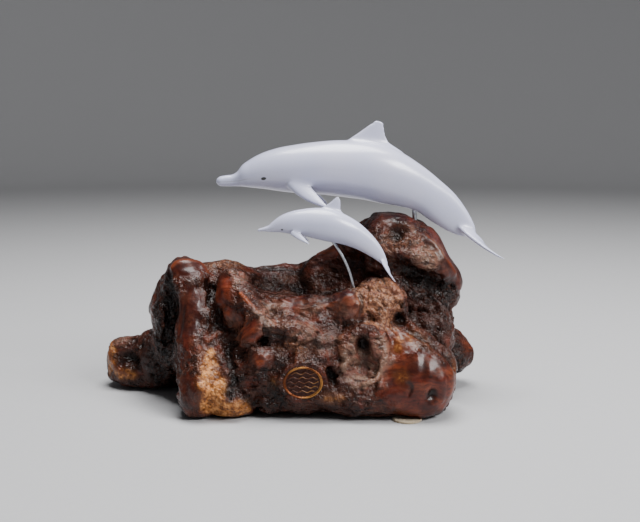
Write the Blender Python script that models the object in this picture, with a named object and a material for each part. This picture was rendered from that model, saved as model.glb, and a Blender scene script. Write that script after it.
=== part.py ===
"""A dolphin and her calf leaping over a polished burl root.

Two castings stand on steel wires in one piece of burl wood, which rests on three round pads.
Metres, +Z up. The origin is the middle of the whole figurine's footprint, on the surface that it stands on.
-X is the way that the dolphins swim, and -Y is the front.
"""

import math

import bmesh
import bpy
import numpy as np
from mathutils import Matrix, Vector

# Driving sizes

BURL_LENGTH = 0.224
MOTHER_LENGTH = 0.1650
CALF_LENGTH = 0.0808

MOTHER_WIRE_DIAMETER = 0.0026
MOTHER_WIRE_FREE = 0.0025
CALF_WIRE_DIAMETER = 0.0016
CALF_WIRE_FREE = 0.0284
WIRE_DEPTH_IN_BURL = 0.0090
WIRE_DEPTH_IN_MOTHER = 0.0060
WIRE_DEPTH_IN_CALF = 0.0035

SEAL_WIDTH = 0.0215
SEAL_HEIGHT = 0.0172
SEAL_THICKNESS = 0.0016
SEAL_RIM_WIDTH = 0.0011
SEAL_FIELD_DEPTH = 0.0005
SEAL_SUNK = 0.0009

PAD_DIAMETER = 0.0160
PAD_THICKNESS = 0.0012

FIT_GAP = 0.0003
HOLE_LEAD_IN_BURL = 0.0060
HOLE_LEAD_IN_DOLPHIN = 0.0015

# How the dolphins stand: where each wire leaves the wood, in steps of the burl's grid,
# the wire's lean towards the dolphin's head, the station of the belly that it enters, and the dolphin's roll.

MOTHER_STAND = (63.5, 16.0)
MOTHER_WIRE_LEAN = 4.0
MOTHER_BELLY = 0.765
MOTHER_ROLL = 1.5
CALF_STAND = (26.5, -18.0)
CALF_WIRE_LEAN_LOW = 10.0
CALF_WIRE_LEAN_HIGH = 38.0
CALF_BELLY = 0.557
CALF_ROLL = 2.0

SEAL_PLACE = (-1.4, 22.0)
SEAL_TILT = 8.0
PAD_PLACES = (("front_right", 55.0, -44.0), ("front_left", -44.0, -27.0), ("back", 0.0, 38.0))

# The burl is laid out on a grid of this many steps along its length, 1 mm each at the real size.

GRID_STEPS = 224
STEP = BURL_LENGTH / GRID_STEPS
BURL_CELL = 2.2
BURL_FACES_KEPT = 0.098
BURL_REGION = ((-129.0, -62.0, -12.0), (105.0, 66.0, 118.0))
CREASE = 2.2
HOLLOW_EDGE = 1.2

# Lobes of the burl: middle, half sizes, and the lean of the lobe about the Y axis in degrees.

LOBES = {
    "core": ((0, 4, 32), (76, 38, 30), 0),
    "hump root": ((54, 15, 60), (22, 18, 26), 0),
    "rim root": ((24, 27, 50), (26, 15, 19), 0),
    "low back": ((-20, 36, 8), (46, 18, 14), 0),
    "left foot": ((-104, 28, 15), (20, 15, 15), 8),
    "left foot neck": ((-88, 24, 17), (20, 19, 18), 0),
    "left hump": ((-65, 9, 42), (25, 32, 33), 0),
    "left dome": ((-69, -2, 69), (13, 15, 13.5), 0),
    "left crown": ((-48, 12, 66), (20, 16, 13.5), 0),
    "left shoulder": ((-80, 14, 42), (13, 24, 30), -6),
    "gold foot": ((-42, -28, 12), (19, 20, 19), 0),
    "left knob": ((-40, -13, 58), (12, 15.5, 19.5), -8),
    "lower lobe": ((-27, -35, 45.5), (10, 9, 6), -35),
    "red bump": ((-23, -42, 33.5), (5.5, 5.5, 5.5), 0),
    "saddle floor": ((-12, 2, 43), (42, 30, 16), 0),
    "centre front": ((0, -18, 28), (48, 27, 24), 0),
    "seal cushion": ((-1, -39, 22), (16, 9, 13), 0),
    "ring swelling": ((31, -35, 38), (14, 10, 13), 0),
    "right lobe": ((62, -30, 19), (22, 21, 25), 0),
    "right lobe top": ((50, -24, 36), (16, 17, 15), 20),
    "hump": ((66, 16, 77.2), (23, 25, 32), -28),
    "hump top": ((47, 17, 88.5), (18, 19, 18.5), 0),
    "bark knob": ((42, -16, 59.5), (14, 15, 14), 0),
    "red knob": ((24, -24, 58.5), (9, 9.5, 8.5), 0),
    "rough flank": ((72, 10, 38), (20, 22, 19), 0),
    "right knob": ((88, 28, 19), (12, 15, 16), 12),
    "back left": ((-56, 36, 27), (30, 18, 25), -10),
    "back middle": ((-8, 40, 30), (27, 16, 28), 8),
    "back right": ((45, 38, 40), (27, 18, 36), -8),
    "back spur": ((20, 50, 13), (15, 12, 14), 0),
}

# Roots of the burl: both ends and the radius at each.

ROOTS = {
    "front ridge": ((-63, -6, 64), (-58, -35, 11), 12, 14),
    "crest fall": ((-37, -23, 60), (-23, -34, 48), 7.5, 6.0),
    "crest run": ((-23, -34, 48), (-5, -37, 45), 6.0, 6.5),
    "saddle front": ((-21, -19, 53), (5, -24, 54), 9, 8.5),
    "saddle rise": ((5, -24, 54), (24, -23, 57), 8.5, 8.5),
    "back rim": ((-40, 24, 60), (10, 26, 60), 13.5, 14),
    "hump slope": ((45, 15, 87), (12, 18, 68), 17, 15),
    "low front": ((-14, -33, 14), (56, -33, 16), 14, 18),
    "back buttress": ((-30, 38, 48), (-38, 52, 10), 9, 12),
    "right knob neck": ((75, 22, 33), (88, 28, 20), 13, 12),
}

# Hollows of the burl, cut like the lobes.

HOLLOWS = {
    "under the hump": ((75, -12, 65.5), (28, 18, 9.5), 24),
    "hump cheek": ((58, -17, 75), (9, 10, 10), 0),
    "hump hole": ((51, -2, 98), (3.5, 7, 5), 0),
    "left pit": ((-49, -36, 55), (5.5, 13, 9.5), 8),
    "left groove": ((-53, -20, 70), (4, 12, 12), 10),
    "shoulder groove": ((-78, -20, 50), (5.5, 13, 24), 4),
    "recess under the lobe": ((-21, -45, 42), (4, 8, 3.5), -30),
    "ring hollow": ((31, -46, 39), (6.5, 11, 7.5), 0),
    "hole by the seal": ((13.5, -50, 25), (3, 9, 5), 0),
    "bark notch": ((51, -32, 52), (5, 11, 4.5), 20),
    "right pit": ((67, -52, 17.5), (4, 6, 4.5), 0),
    "foot hollow": ((-99, 11, 21), (9, 6, 5), 10),
    "valley": ((13, 3, 76), (21, 12, 17), -20),
    "back hollow": ((18, 58, 44), (10, 13, 15), 12),
    "back groove": ((-24, 60, 40), (6, 12, 24), 10),
    "right notch": ((80, 6, 24), (14, 9, 8), 0),
}

# Channels of the burl: both ends and the radius at each.

CHANNELS = {
    "upper channel": ((-44, -40, 49), (-38.5, -46, 33), 4, 4.5),
    "middle channel": ((-38.5, -46, 33), (-35, -49, 20), 4.5, 5),
    "lower channel": ((-35, -49, 20), (-25, -51, 10), 5, 4),
}

# Gentle swells all over the wood: strength, and waves along each axis in grid steps.

SWELLS = ((0.9, (31, 37, 29)), (0.6, (17, 21, 19)))

# The dolphins along their length, as shares of the length from the beak to the notch of the flukes:
# station, height above the axis, depth below it, and half width.

MOTHER_STATIONS = (
    (0.000, 0.0165, 0.0175, 0.0160),
    (0.037, 0.0182, 0.0210, 0.0185),
    (0.068, 0.0255, 0.0255, 0.0225),
    (0.082, 0.0365, 0.0285, 0.0290),
    (0.0965, 0.0510, 0.0325, 0.0380),
    (0.1316, 0.0650, 0.0430, 0.0510),
    (0.167, 0.0735, 0.0530, 0.0615),
    (0.223, 0.0850, 0.0695, 0.0745),
    (0.2965, 0.0898, 0.0853, 0.0855),
    (0.367, 0.0926, 0.0937, 0.0905),
    (0.447, 0.0990, 0.1000, 0.0920),
    (0.542, 0.1025, 0.1025, 0.0885),
    (0.614, 0.1015, 0.1015, 0.0815),
    (0.690, 0.0900, 0.0900, 0.0670),
    (0.772, 0.0715, 0.0715, 0.0470),
    (0.852, 0.0580, 0.0560, 0.0300),
    (0.924, 0.0340, 0.0330, 0.0190),
    (1.000, 0.0120, 0.0120, 0.0120),
)
CALF_STATIONS = (
    (0.000, 0.0110, 0.0090, 0.0110),
    (0.028, 0.0122, 0.0105, 0.0125),
    (0.055, 0.0160, 0.0160, 0.0160),
    (0.083, 0.0235, 0.0240, 0.0220),
    (0.105, 0.0380, 0.0284, 0.0290),
    (0.128, 0.0525, 0.0328, 0.0375),
    (0.161, 0.0705, 0.0400, 0.0500),
    (0.216, 0.0896, 0.0557, 0.0670),
    (0.271, 0.1005, 0.0690, 0.0785),
    (0.325, 0.1065, 0.0810, 0.0860),
    (0.380, 0.1120, 0.0940, 0.0920),
    (0.435, 0.1160, 0.1030, 0.0950),
    (0.490, 0.1160, 0.1075, 0.0955),
    (0.546, 0.1085, 0.1050, 0.0925),
    (0.604, 0.0995, 0.0985, 0.0850),
    (0.664, 0.0910, 0.0890, 0.0740),
    (0.727, 0.0785, 0.0775, 0.0580),
    (0.795, 0.0650, 0.0650, 0.0420),
    (0.869, 0.0490, 0.0490, 0.0280),
    (0.927, 0.0330, 0.0330, 0.0190),
    (0.966, 0.0205, 0.0205, 0.0150),
    (1.000, 0.0110, 0.0110, 0.0110),
)
RING_STATIONS = (
    0.003, 0.010, 0.021, 0.040, 0.064, 0.080, 0.093, 0.108, 0.130, 0.160, 0.200, 0.250, 0.310, 0.370,
    0.430, 0.490, 0.550, 0.610, 0.670, 0.725, 0.780, 0.830, 0.875, 0.915, 0.950, 0.980, 0.996,
)
BODY_SIDES = 18
BEAK_ROUNDING = 0.022
TAIL_ROUNDING = 0.030

# Pitch of each dolphin's axis along its length, in degrees: rising towards the tail is positive.

MOTHER_BEND = (
    (0.00, 4), (0.10, 10), (0.20, 8), (0.35, 2.5), (0.45, -4), (0.55, -10),
    (0.65, -21), (0.75, -32), (0.85, -39), (0.95, -44), (1.00, -47),
)
CALF_BEND = (
    (0.00, 11), (0.10, 9), (0.20, 7), (0.30, 3.5), (0.40, -2), (0.50, -10.5), (0.60, -22),
    (0.70, -31), (0.80, -39.5), (0.90, -49), (1.00, -62),
)

# Fins, as shares of the dolphin's length. The dorsal fins, from root to tip: height above the axis,
# front edge and back edge along the body, and thickness. The flukes and flippers, from root to tip:
# distance out, front edge, back edge, thickness, and rise.

MOTHER_DORSAL_STATION = 0.56
MOTHER_DORSAL = (
    (0.060, -0.150, 0.125, 0.050),
    (0.0895, -0.117, 0.088, 0.032),
    (0.1126, -0.0895, 0.037, 0.0235),
    (0.134, -0.069, 0.021, 0.0195),
    (0.155, -0.0516, 0.0105, 0.0165),
    (0.168, -0.040, 0.001, 0.0130),
    (0.1755, -0.030, -0.010, 0.0080),
)
CALF_DORSAL_STATION = 0.50
CALF_DORSAL = (
    (0.070, -0.125, 0.125, 0.050),
    (0.100, -0.096, 0.078, 0.033),
    (0.120, -0.068, 0.056, 0.025),
    (0.145, -0.040, 0.049, 0.021),
    (0.170, -0.017, 0.043, 0.018),
    (0.189, -0.003, 0.037, 0.014),
    (0.199, 0.007, 0.028, 0.009),
)
MOTHER_FLUKE_PITCH = -32.0
CALF_FLUKE_PITCH = -52.0
FLUKE = (
    (-0.004, -0.100, 0.018, 0.030, 0.000),
    (0.014, -0.082, 0.030, 0.027, 0.000),
    (0.036, -0.048, 0.044, 0.020, 0.001),
    (0.062, -0.003, 0.064, 0.015, 0.000),
    (0.088, 0.045, 0.086, 0.010, -0.003),
    (0.104, 0.082, 0.102, 0.0065, -0.006),
    (0.111, 0.100, 0.108, 0.0040, -0.008),
)
MOTHER_FLIPPER_STATION = 0.297
CALF_FLIPPER_STATION = 0.265
FLIPPER_LOW = -0.050
FLIPPER_OUT = 0.066
FLIPPER_TURN = (33.0, 58.0)
FLIPPER = (
    (-0.022, -0.037, 0.035, 0.036, 0.0),
    (0.004, -0.031, 0.029, 0.027, 0.0),
    (0.035, -0.022, 0.024, 0.021, 0.0),
    (0.068, -0.010, 0.023, 0.016, 0.0),
    (0.098, 0.004, 0.022, 0.012, 0.0),
    (0.119, 0.014, 0.022, 0.008, 0.0),
    (0.126, 0.018, 0.021, 0.005, 0.0),
)
FIN_SIDES = 10

MOTHER = {
    "length": MOTHER_LENGTH,
    "stations": MOTHER_STATIONS,
    "bend": MOTHER_BEND,
    "dorsal": MOTHER_DORSAL,
    "dorsal station": MOTHER_DORSAL_STATION,
    "fluke pitch": MOTHER_FLUKE_PITCH,
    "flipper station": MOTHER_FLIPPER_STATION,
    "belly": MOTHER_BELLY,
    "roll": MOTHER_ROLL,
}
CALF = {
    "length": CALF_LENGTH,
    "stations": CALF_STATIONS,
    "bend": CALF_BEND,
    "dorsal": CALF_DORSAL,
    "dorsal station": CALF_DORSAL_STATION,
    "fluke pitch": CALF_FLUKE_PITCH,
    "flipper station": CALF_FLIPPER_STATION,
    "belly": CALF_BELLY,
    "roll": CALF_ROLL,
}


# Shared helpers


def spline(table, at):
    """Reads the columns of a table along its first column, as smooth curves through every row."""
    table = np.asarray(table, float)
    stations, values = table[:, 0], table[:, 1:]
    slopes = np.gradient(values, stations, axis=0)
    at = np.clip(np.atleast_1d(at), stations[0], stations[-1])
    left = np.clip(np.searchsorted(stations, at, side="right") - 1, 0, len(stations) - 2)
    span = (stations[left + 1] - stations[left])[:, None]
    t = (at - stations[left])[:, None] / span
    start = values[left] * (1 + 2 * t) * (1 - t) ** 2 + slopes[left] * span * t * (1 - t) ** 2
    end = values[left + 1] * t**2 * (3 - 2 * t) + slopes[left + 1] * span * t**2 * (t - 1)
    return start + end


def clear_scene():
    """Takes every object out of the scene."""
    for item in list(bpy.data.objects):
        bpy.data.objects.remove(item, do_unlink=True)


def finish_material(name, colour, roughness, metallic=0.0):
    """A plain Principled material."""
    material = bpy.data.materials.new(name)
    material.use_nodes = True
    shader = material.node_tree.nodes["Principled BSDF"]
    shader.inputs["Base Color"].default_value = (*colour, 1.0)
    shader.inputs["Roughness"].default_value = roughness
    shader.inputs["Metallic"].default_value = metallic
    return material


def object_from(name, points, faces, material=None):
    """A closed mesh object from points in metres and faces, with its faces pointing out."""
    mesh = bpy.data.meshes.new(name)
    mesh.from_pydata([tuple(map(float, p)) for p in points], [], [tuple(map(int, f)) for f in faces])
    work = bmesh.new()
    work.from_mesh(mesh)
    bmesh.ops.recalc_face_normals(work, faces=work.faces)
    work.to_mesh(mesh)
    work.free()
    item = bpy.data.objects.new(name, mesh)
    bpy.context.scene.collection.objects.link(item)
    if material:
        mesh.materials.append(material)
    mesh.shade_smooth()
    return item


def combine(item, other, how):
    """Joins other to item, or cuts it away, with a Boolean. The other object becomes its helper."""
    modifier = item.modifiers.new(f"{how.lower()} {other.name}", "BOOLEAN")
    modifier.operation = how
    modifier.solver = "EXACT"
    modifier.object = other
    other.hide_render = True
    other.display_type = "WIRE"


def ring_faces(rings, sides, first_pole=None, last_pole=None):
    """Faces between rings of points laid out one after another, closed at each end by a pole or a flat face."""
    faces = []
    for ring in range(rings - 1):
        low, high = ring * sides, (ring + 1) * sides
        for side in range(sides):
            nxt = (side + 1) % sides
            faces.append((low + side, low + nxt, high + nxt, high + side))
    last = (rings - 1) * sides
    if first_pole is None:
        faces.append(tuple(range(sides))[::-1])
    else:
        faces += [(first_pole, (side + 1) % sides, side) for side in range(sides)]
    if last_pole is None:
        faces.append(tuple(last + side for side in range(sides)))
    else:
        faces += [(last_pole, last + side, last + (side + 1) % sides) for side in range(sides)]
    return faces


def tube_along(name, path, radius, sides, material=None):
    """A round bar along a path of points in the X-Z plane."""
    path = np.asarray(path, float)
    run = np.gradient(path, axis=0)
    run /= np.linalg.norm(run, axis=1)[:, None]
    across = np.array([0.0, 1.0, 0.0])
    other = np.cross(run, across)
    turn = np.linspace(0, 2 * math.pi, sides, endpoint=False)
    points = (
        path[:, None, :]
        + radius * np.cos(turn)[None, :, None] * across
        + radius * np.sin(turn)[None, :, None] * other[:, None, :]
    ).reshape(-1, 3)
    return object_from(name, points, ring_faces(len(path), sides), material)


# The burl


def lobe_distance(points, centre, halves, lean):
    """Roughly how far each point is from an ellipsoid, in grid steps: negative inside."""
    turn = math.radians(lean)
    x, y, z = (points - np.array(centre, float)).T
    along = x * math.cos(turn) - z * math.sin(turn)
    up = x * math.sin(turn) + z * math.cos(turn)
    local = np.stack([along, y, up], 1)
    halves = np.array(halves, float)
    near = np.linalg.norm(local / halves, axis=1) + 1e-9
    steep = np.linalg.norm(local / halves**2, axis=1) + 1e-9
    return near * (near - 1) / steep


def root_distance(points, start, end, start_radius, end_radius):
    """How far each point is from a round root that tapers from one radius to the other."""
    start = np.array(start, float)
    run = np.array(end, float) - start
    share = np.clip((points - start) @ run / (run @ run), 0, 1)
    nearest = start + share[:, None] * run
    return np.linalg.norm(points - nearest, axis=1) - (start_radius + share * (end_radius - start_radius))


def burl_field(points):
    """The burl as one distance, in grid steps, negative in the wood: lobes and roots grown together
    with gentle swells, and hollows and channels cut out."""
    grown = np.zeros(len(points))
    for centre, halves, lean in LOBES.values():
        grown += np.exp(-np.clip(lobe_distance(points, centre, halves, lean), -60, 200) / CREASE)
    for start, end, start_radius, end_radius in ROOTS.values():
        near = root_distance(points, start, end, start_radius, end_radius)
        grown += np.exp(-np.clip(near, -60, 200) / CREASE)
    wood = -CREASE * np.log(grown)
    for strength, (wave_x, wave_y, wave_z) in SWELLS:
        x, y, z = points.T
        swell_x = np.sin(2 * math.pi * (x / wave_x + y / (2.3 * wave_y)) + 1.0)
        swell_y = np.sin(2 * math.pi * (y / wave_y - z / (2.1 * wave_z)) + 2.0)
        swell_z = np.sin(2 * math.pi * (z / wave_z + x / (2.7 * wave_x)))
        wood += strength * (swell_x + swell_y + swell_z) / 2
    for centre, halves, lean in HOLLOWS.values():
        away = -lobe_distance(points, centre, halves, lean)
        wood = HOLLOW_EDGE * np.logaddexp(wood / HOLLOW_EDGE, away / HOLLOW_EDGE)
    for start, end, start_radius, end_radius in CHANNELS.values():
        away = -root_distance(points, start, end, start_radius, end_radius)
        wood = HOLLOW_EDGE * np.logaddexp(wood / HOLLOW_EDGE, away / HOLLOW_EDGE)
    return wood


def field_slope(points):
    """The gradient of the burl's distance, from small steps along each axis."""
    small = 0.25
    slope = np.empty_like(points)
    for axis in range(3):
        shift = np.zeros(3)
        shift[axis] = small
        slope[:, axis] = (burl_field(points + shift) - burl_field(points - shift)) / (2 * small)
    return slope


def onto_wood(points, rounds):
    """Moves points onto the surface of the wood."""
    for _ in range(rounds):
        slope = field_slope(points)
        steep = np.maximum(np.sum(slope**2, axis=1), 0.3)
        step = burl_field(points)[:, None] * slope / steep[:, None]
        points = points - np.clip(step, -1.5, 1.5)
    return points


def surface_net(values, low, cell):
    """Points and four-sided faces round the region of a grid where the values are negative."""
    inside = values < 0
    cells = np.array(values.shape) - 1
    sums = np.zeros((cells.prod(), 3))
    counts = np.zeros(cells.prod())
    quads = []
    for axis in range(3):
        near = [slice(None)] * 3
        far = [slice(None)] * 3
        near[axis], far[axis] = slice(None, -1), slice(1, None)
        here, there = values[tuple(near)], values[tuple(far)]
        at = np.argwhere((here < 0) != (there < 0))
        first, second = here[tuple(at.T)], there[tuple(at.T)]
        crossing = at.astype(float)
        crossing[:, axis] += first / (first - second)
        one, two = (axis + 1) % 3, (axis + 2) % 3
        ring = []
        for back_one, back_two in ((0, 0), (1, 0), (1, 1), (0, 1)):
            cell_at = at.copy()
            cell_at[:, one] -= back_one
            cell_at[:, two] -= back_two
            number = np.ravel_multi_index(cell_at.T, cells)
            ring.append(number)
            counts += np.bincount(number, minlength=len(counts))
            for part in range(3):
                sums[:, part] += np.bincount(number, crossing[:, part], minlength=len(counts))
        ring = np.stack(ring, 1)
        flip = inside[tuple(near)][tuple(at.T)]
        quads.append(np.where(flip[:, None], ring, ring[:, ::-1]))
    used = np.flatnonzero(counts)
    rank = np.zeros(len(counts), int)
    rank[used] = np.arange(len(used))
    points = low + cell * sums[used] / counts[used, None]
    return points, rank[np.concatenate(quads)]


def make_burl(material):
    """The burl root: the grown lobes, with the underside sawn flat."""
    low, high = (np.array(corner) for corner in BURL_REGION)
    shape = np.ceil((high - low) / BURL_CELL).astype(int) + 1
    grid = np.stack(np.meshgrid(*(low[i] + BURL_CELL * np.arange(shape[i]) for i in range(3)), indexing="ij"), -1)
    values = burl_field(grid.reshape(-1, 3)).reshape(shape)
    for axis in range(3):
        ends = [slice(None)] * 3
        ends[axis] = [0, -1]
        values[tuple(ends)] = 1.0
    points, faces = surface_net(values, low, BURL_CELL)
    burl = object_from("burl_root", onto_wood(points, 3) * STEP, faces, material)
    thin = burl.modifiers.new("fewer faces", "DECIMATE")
    thin.ratio = BURL_FACES_KEPT
    level = PAD_THICKNESS + FIT_GAP
    reach, depth = BURL_LENGTH, BURL_LENGTH / 4
    corners = [(x, y, z) for z in (level - depth, level) for x, y in ((-1, -1), (1, -1), (1, 1), (-1, 1))]
    saw = object_from("sawn off below", [(x * reach, y * reach, z) for x, y, z in corners], ring_faces(2, 4))
    combine(burl, saw, "DIFFERENCE")
    return burl


def last_wood(start, direction, reach):
    """The last point of the wood along a ray from inside it, in metres."""
    start, direction = np.array(start, float), np.array(direction, float)
    along = np.arange(0, reach, 0.05)
    inside = burl_field(start + along[:, None] * direction) < 0
    return Vector((start + along[np.flatnonzero(inside)[-1]] * direction) * STEP)


def wood_top(place):
    """The highest point of the wood at a place on the grid, in metres."""
    return last_wood((place[0], place[1], 20.0), (0, 0, 1), 110.0)


def wood_front(place):
    """The frontmost point of the wood at a width and a height on the grid, in metres."""
    return last_wood((place[0], 0.0, place[1]), (0, -1, 0), 90.0)


# The dolphins


def axis_of(bend, length, at):
    """Points of the axis, in metres from the beak, and its pitch in radians, at the given stations."""
    fine = np.linspace(0, 1, 801)
    pitch = np.radians(spline(bend, fine)[:, 0])
    step = length / 800
    x = np.concatenate([[0], np.cumsum((np.cos(pitch[1:]) + np.cos(pitch[:-1])) / 2 * step)])
    z = np.concatenate([[0], np.cumsum((np.sin(pitch[1:]) + np.sin(pitch[:-1])) / 2 * step)])
    at = np.atleast_1d(at)
    return np.interp(at, fine, x), np.interp(at, fine, z), np.interp(at, fine, pitch)


def body_of(name, shape, material):
    """The body of a dolphin from rounded beak to tail."""
    at = np.array(RING_STATIONS)
    x, z, pitch = axis_of(shape["bend"], shape["length"], at)
    up, down, half = spline(shape["stations"], at).T * shape["length"]
    front = np.clip(at / BEAK_ROUNDING, 0, 1)
    back = np.clip((1 - at) / TAIL_ROUNDING, 0, 1)
    close = np.sqrt(1 - (1 - front) ** 2) * np.sqrt(1 - (1 - back) ** 2)
    turn = np.linspace(0, 2 * math.pi, BODY_SIDES, endpoint=False)
    rise = np.cos(turn)[None, :] * np.where(np.cos(turn)[None, :] > 0, up[:, None], down[:, None]) * close[:, None]
    out = np.sin(turn)[None, :] * (half * close)[:, None]
    points = np.stack(
        [
            x[:, None] - np.sin(pitch)[:, None] * rise,
            np.broadcast_to(out, rise.shape),
            z[:, None] + np.cos(pitch)[:, None] * rise,
        ],
        2,
    ).reshape(-1, 3)
    ends_x, ends_z, _ = axis_of(shape["bend"], shape["length"], [0.0, 1.0])
    points = np.vstack([points, [(ends_x[0], 0, ends_z[0]), (ends_x[1], 0, ends_z[1])]])
    count = len(at) * BODY_SIDES
    return object_from(name, points, ring_faces(len(at), BODY_SIDES, count, count + 1), material)


def blade(name, rows, length, place, material):
    """A fin from root to tip. Each row is the distance out, front edge, back edge, thickness and rise,
    as shares of the dolphin's length. The place takes along, rise and out to the dolphin's frame."""
    turn = np.linspace(0, 2 * math.pi, FIN_SIDES, endpoint=False)
    chord = (1 - np.cos(turn)) / 2
    bulge = np.sin(turn) * (1.25 - 0.65 * chord)
    points = []
    for out, front, back, thick, rise in rows:
        along = front + (back - front) * chord
        points += [(a, rise + thick / 2 * b, out) for a, b in zip(along, bulge)]
    out, front, back, thick, rise = rows[-1]
    points.append(((front + back) / 2, rise, out + thick * 0.7))
    out, front, back, thick, rise = rows[0]
    points.append(((front + back) / 2, rise, out))
    points = [place @ (Vector(p) * length) for p in points]
    count = len(rows) * FIN_SIDES
    return object_from(name, points, ring_faces(len(rows), FIN_SIDES, count + 1, count), material)


def frame_at(shape, station, pitch=None):
    """A dolphin's own frame at a station: X along the axis, Y across and Z up."""
    x, z, own = axis_of(shape["bend"], shape["length"], station)
    angle = own[0] if pitch is None else math.radians(pitch)
    return Matrix.Translation((x[0], 0, z[0])) @ Matrix.Rotation(-angle, 4, "Y")


def make_dolphin(name, shape, touch, material):
    """A dolphin with its fins, put so that its belly touches a point."""
    length = shape["length"]
    body = body_of(name, shape, material)
    dorsal = [(rise, front, back, thick, 0.0) for rise, front, back, thick in shape["dorsal"]]
    stand = frame_at(shape, shape["dorsal station"])
    fins = [blade(f"{name} dorsal fin", dorsal, length, stand, material)]
    tail = frame_at(shape, 1.0, shape["fluke pitch"])
    fore = frame_at(shape, shape["flipper station"])
    lay = Matrix(((1, 0, 0, 0), (0, 0, 1, 0), (0, 1, 0, 0), (0, 0, 0, 1)))
    root = Matrix.Translation((0, FLIPPER_OUT * length, FLIPPER_LOW * length))
    back_turn, down_turn = (math.radians(angle) for angle in FLIPPER_TURN)
    swing = Matrix.Rotation(-down_turn, 4, "X") @ Matrix.Rotation(-back_turn, 4, "Z")
    for side, word in ((-1, "near"), (1, "far")):
        mirror = Matrix.Diagonal((1, side, 1, 1))
        fins.append(blade(f"{name} {word} fluke", FLUKE, length, tail @ mirror @ lay, material))
        fins.append(blade(f"{name} {word} flipper", FLIPPER, length, fore @ mirror @ root @ swing @ lay, material))
    depth = spline(shape["stations"], shape["belly"])[0, 1] * length
    belly_point = frame_at(shape, shape["belly"]) @ Vector((0, 0, -depth))
    lean = Matrix.Rotation(-math.radians(shape["roll"]), 4, "X")
    move = Matrix.Translation(touch - lean @ belly_point) @ lean
    for item in [body] + fins:
        item.data.transform(move)
    for fin in fins:
        combine(body, fin, "UNION")
    return body


# Wires, seal and pads


def wire_path(base, low, high, free, under, over, bends):
    """A wire in the X-Z plane from its foot in the wood to its tip in the dolphin: straight ends and an even
    bend between leans that are given in degrees towards the dolphin's head."""
    leans = np.radians(np.linspace(low, high, bends + 1))
    start = Vector((-math.sin(leans[0]), 0, math.cos(leans[0])))
    end = Vector((-math.sin(leans[-1]), 0, math.cos(leans[-1])))
    points = [base - start * under, base.copy()]
    for first, second in zip(leans[:-1], leans[1:]):
        middle = (first + second) / 2
        points.append(points[-1] + Vector((-math.sin(middle), 0, math.cos(middle))) * (free / bends))
    touch = points[-1]
    points.append(touch + end * over)
    return points, touch


def socket(item, name, mouth, along, diameter, depth, proud):
    """A blind hole that leaves a gap round a wire of this diameter."""
    low = mouth - along * proud
    high = mouth + along * (depth + FIT_GAP)
    cutter = tube_along(name, [low, high], diameter / 2 + FIT_GAP, 16)
    combine(item, cutter, "DIFFERENCE")


def oval(name, width, height, levels, place, material=None):
    """A flat oval plate from levels of (inset from the edge, height)."""
    sides = 40
    turn = np.linspace(0, 2 * math.pi, sides, endpoint=False)
    points = []
    for inset, level in levels:
        half_x, half_z = width / 2 - inset, height / 2 - inset
        points += [(half_x * math.cos(a), -level, half_z * math.sin(a)) for a in turn]
    points = [place @ Vector(p) for p in points]
    return object_from(name, points, ring_faces(len(levels), sides), material)


def make_seal(burl, material):
    """The oval maker's seal, bare of any mark, in its pocket in the front of the wood."""
    face = wood_front(SEAL_PLACE)
    tilt = Matrix.Rotation(-math.radians(SEAL_TILT), 4, "X")
    place = Matrix.Translation(face) @ tilt @ Matrix.Translation((0, SEAL_SUNK + SEAL_THICKNESS, 0))
    rim, field = SEAL_THICKNESS, SEAL_THICKNESS - SEAL_FIELD_DEPTH
    bevel = 0.0003
    levels = (
        (0.0, 0.0),
        (0.0, rim - bevel),
        (bevel, rim),
        (SEAL_RIM_WIDTH - bevel, rim),
        (SEAL_RIM_WIDTH, field),
    )
    seal = oval("makers_seal", SEAL_WIDTH, SEAL_HEIGHT, levels, place, material)
    wide, tall = SEAL_WIDTH + 2 * FIT_GAP, SEAL_HEIGHT + 2 * FIT_GAP
    pocket = oval("seal pocket", wide, tall, ((0, -FIT_GAP), (0, 0.012)), place)
    combine(burl, pocket, "DIFFERENCE")
    return seal


def make_pad(name, place, material):
    """A round pad under the wood."""
    x, y = place[0] * STEP, place[1] * STEP
    sides = 32
    turn = np.linspace(0, 2 * math.pi, sides, endpoint=False)
    radius = PAD_DIAMETER / 2
    points = [(x + radius * math.cos(a), y + radius * math.sin(a), z) for z in (0.0, PAD_THICKNESS) for a in turn]
    item = object_from(name, points, ring_faces(2, sides), material)
    item.data.shade_flat()
    return item


def centre_all():
    """Moves everything so that the origin is the middle of the footprint, on the standing surface."""
    view = bpy.context.evaluated_depsgraph_get()
    view.update()
    corners = []
    for item in bpy.data.objects:
        if not item.hide_render:
            corners += [Vector(c) for c in item.evaluated_get(view).bound_box]
    low = Vector(min(c[i] for c in corners) for i in range(3))
    high = Vector(max(c[i] for c in corners) for i in range(3))
    shift = Vector((-(low.x + high.x) / 2, -(low.y + high.y) / 2, -low.z))
    for item in bpy.data.objects:
        item.location += shift
    return shift


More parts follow.
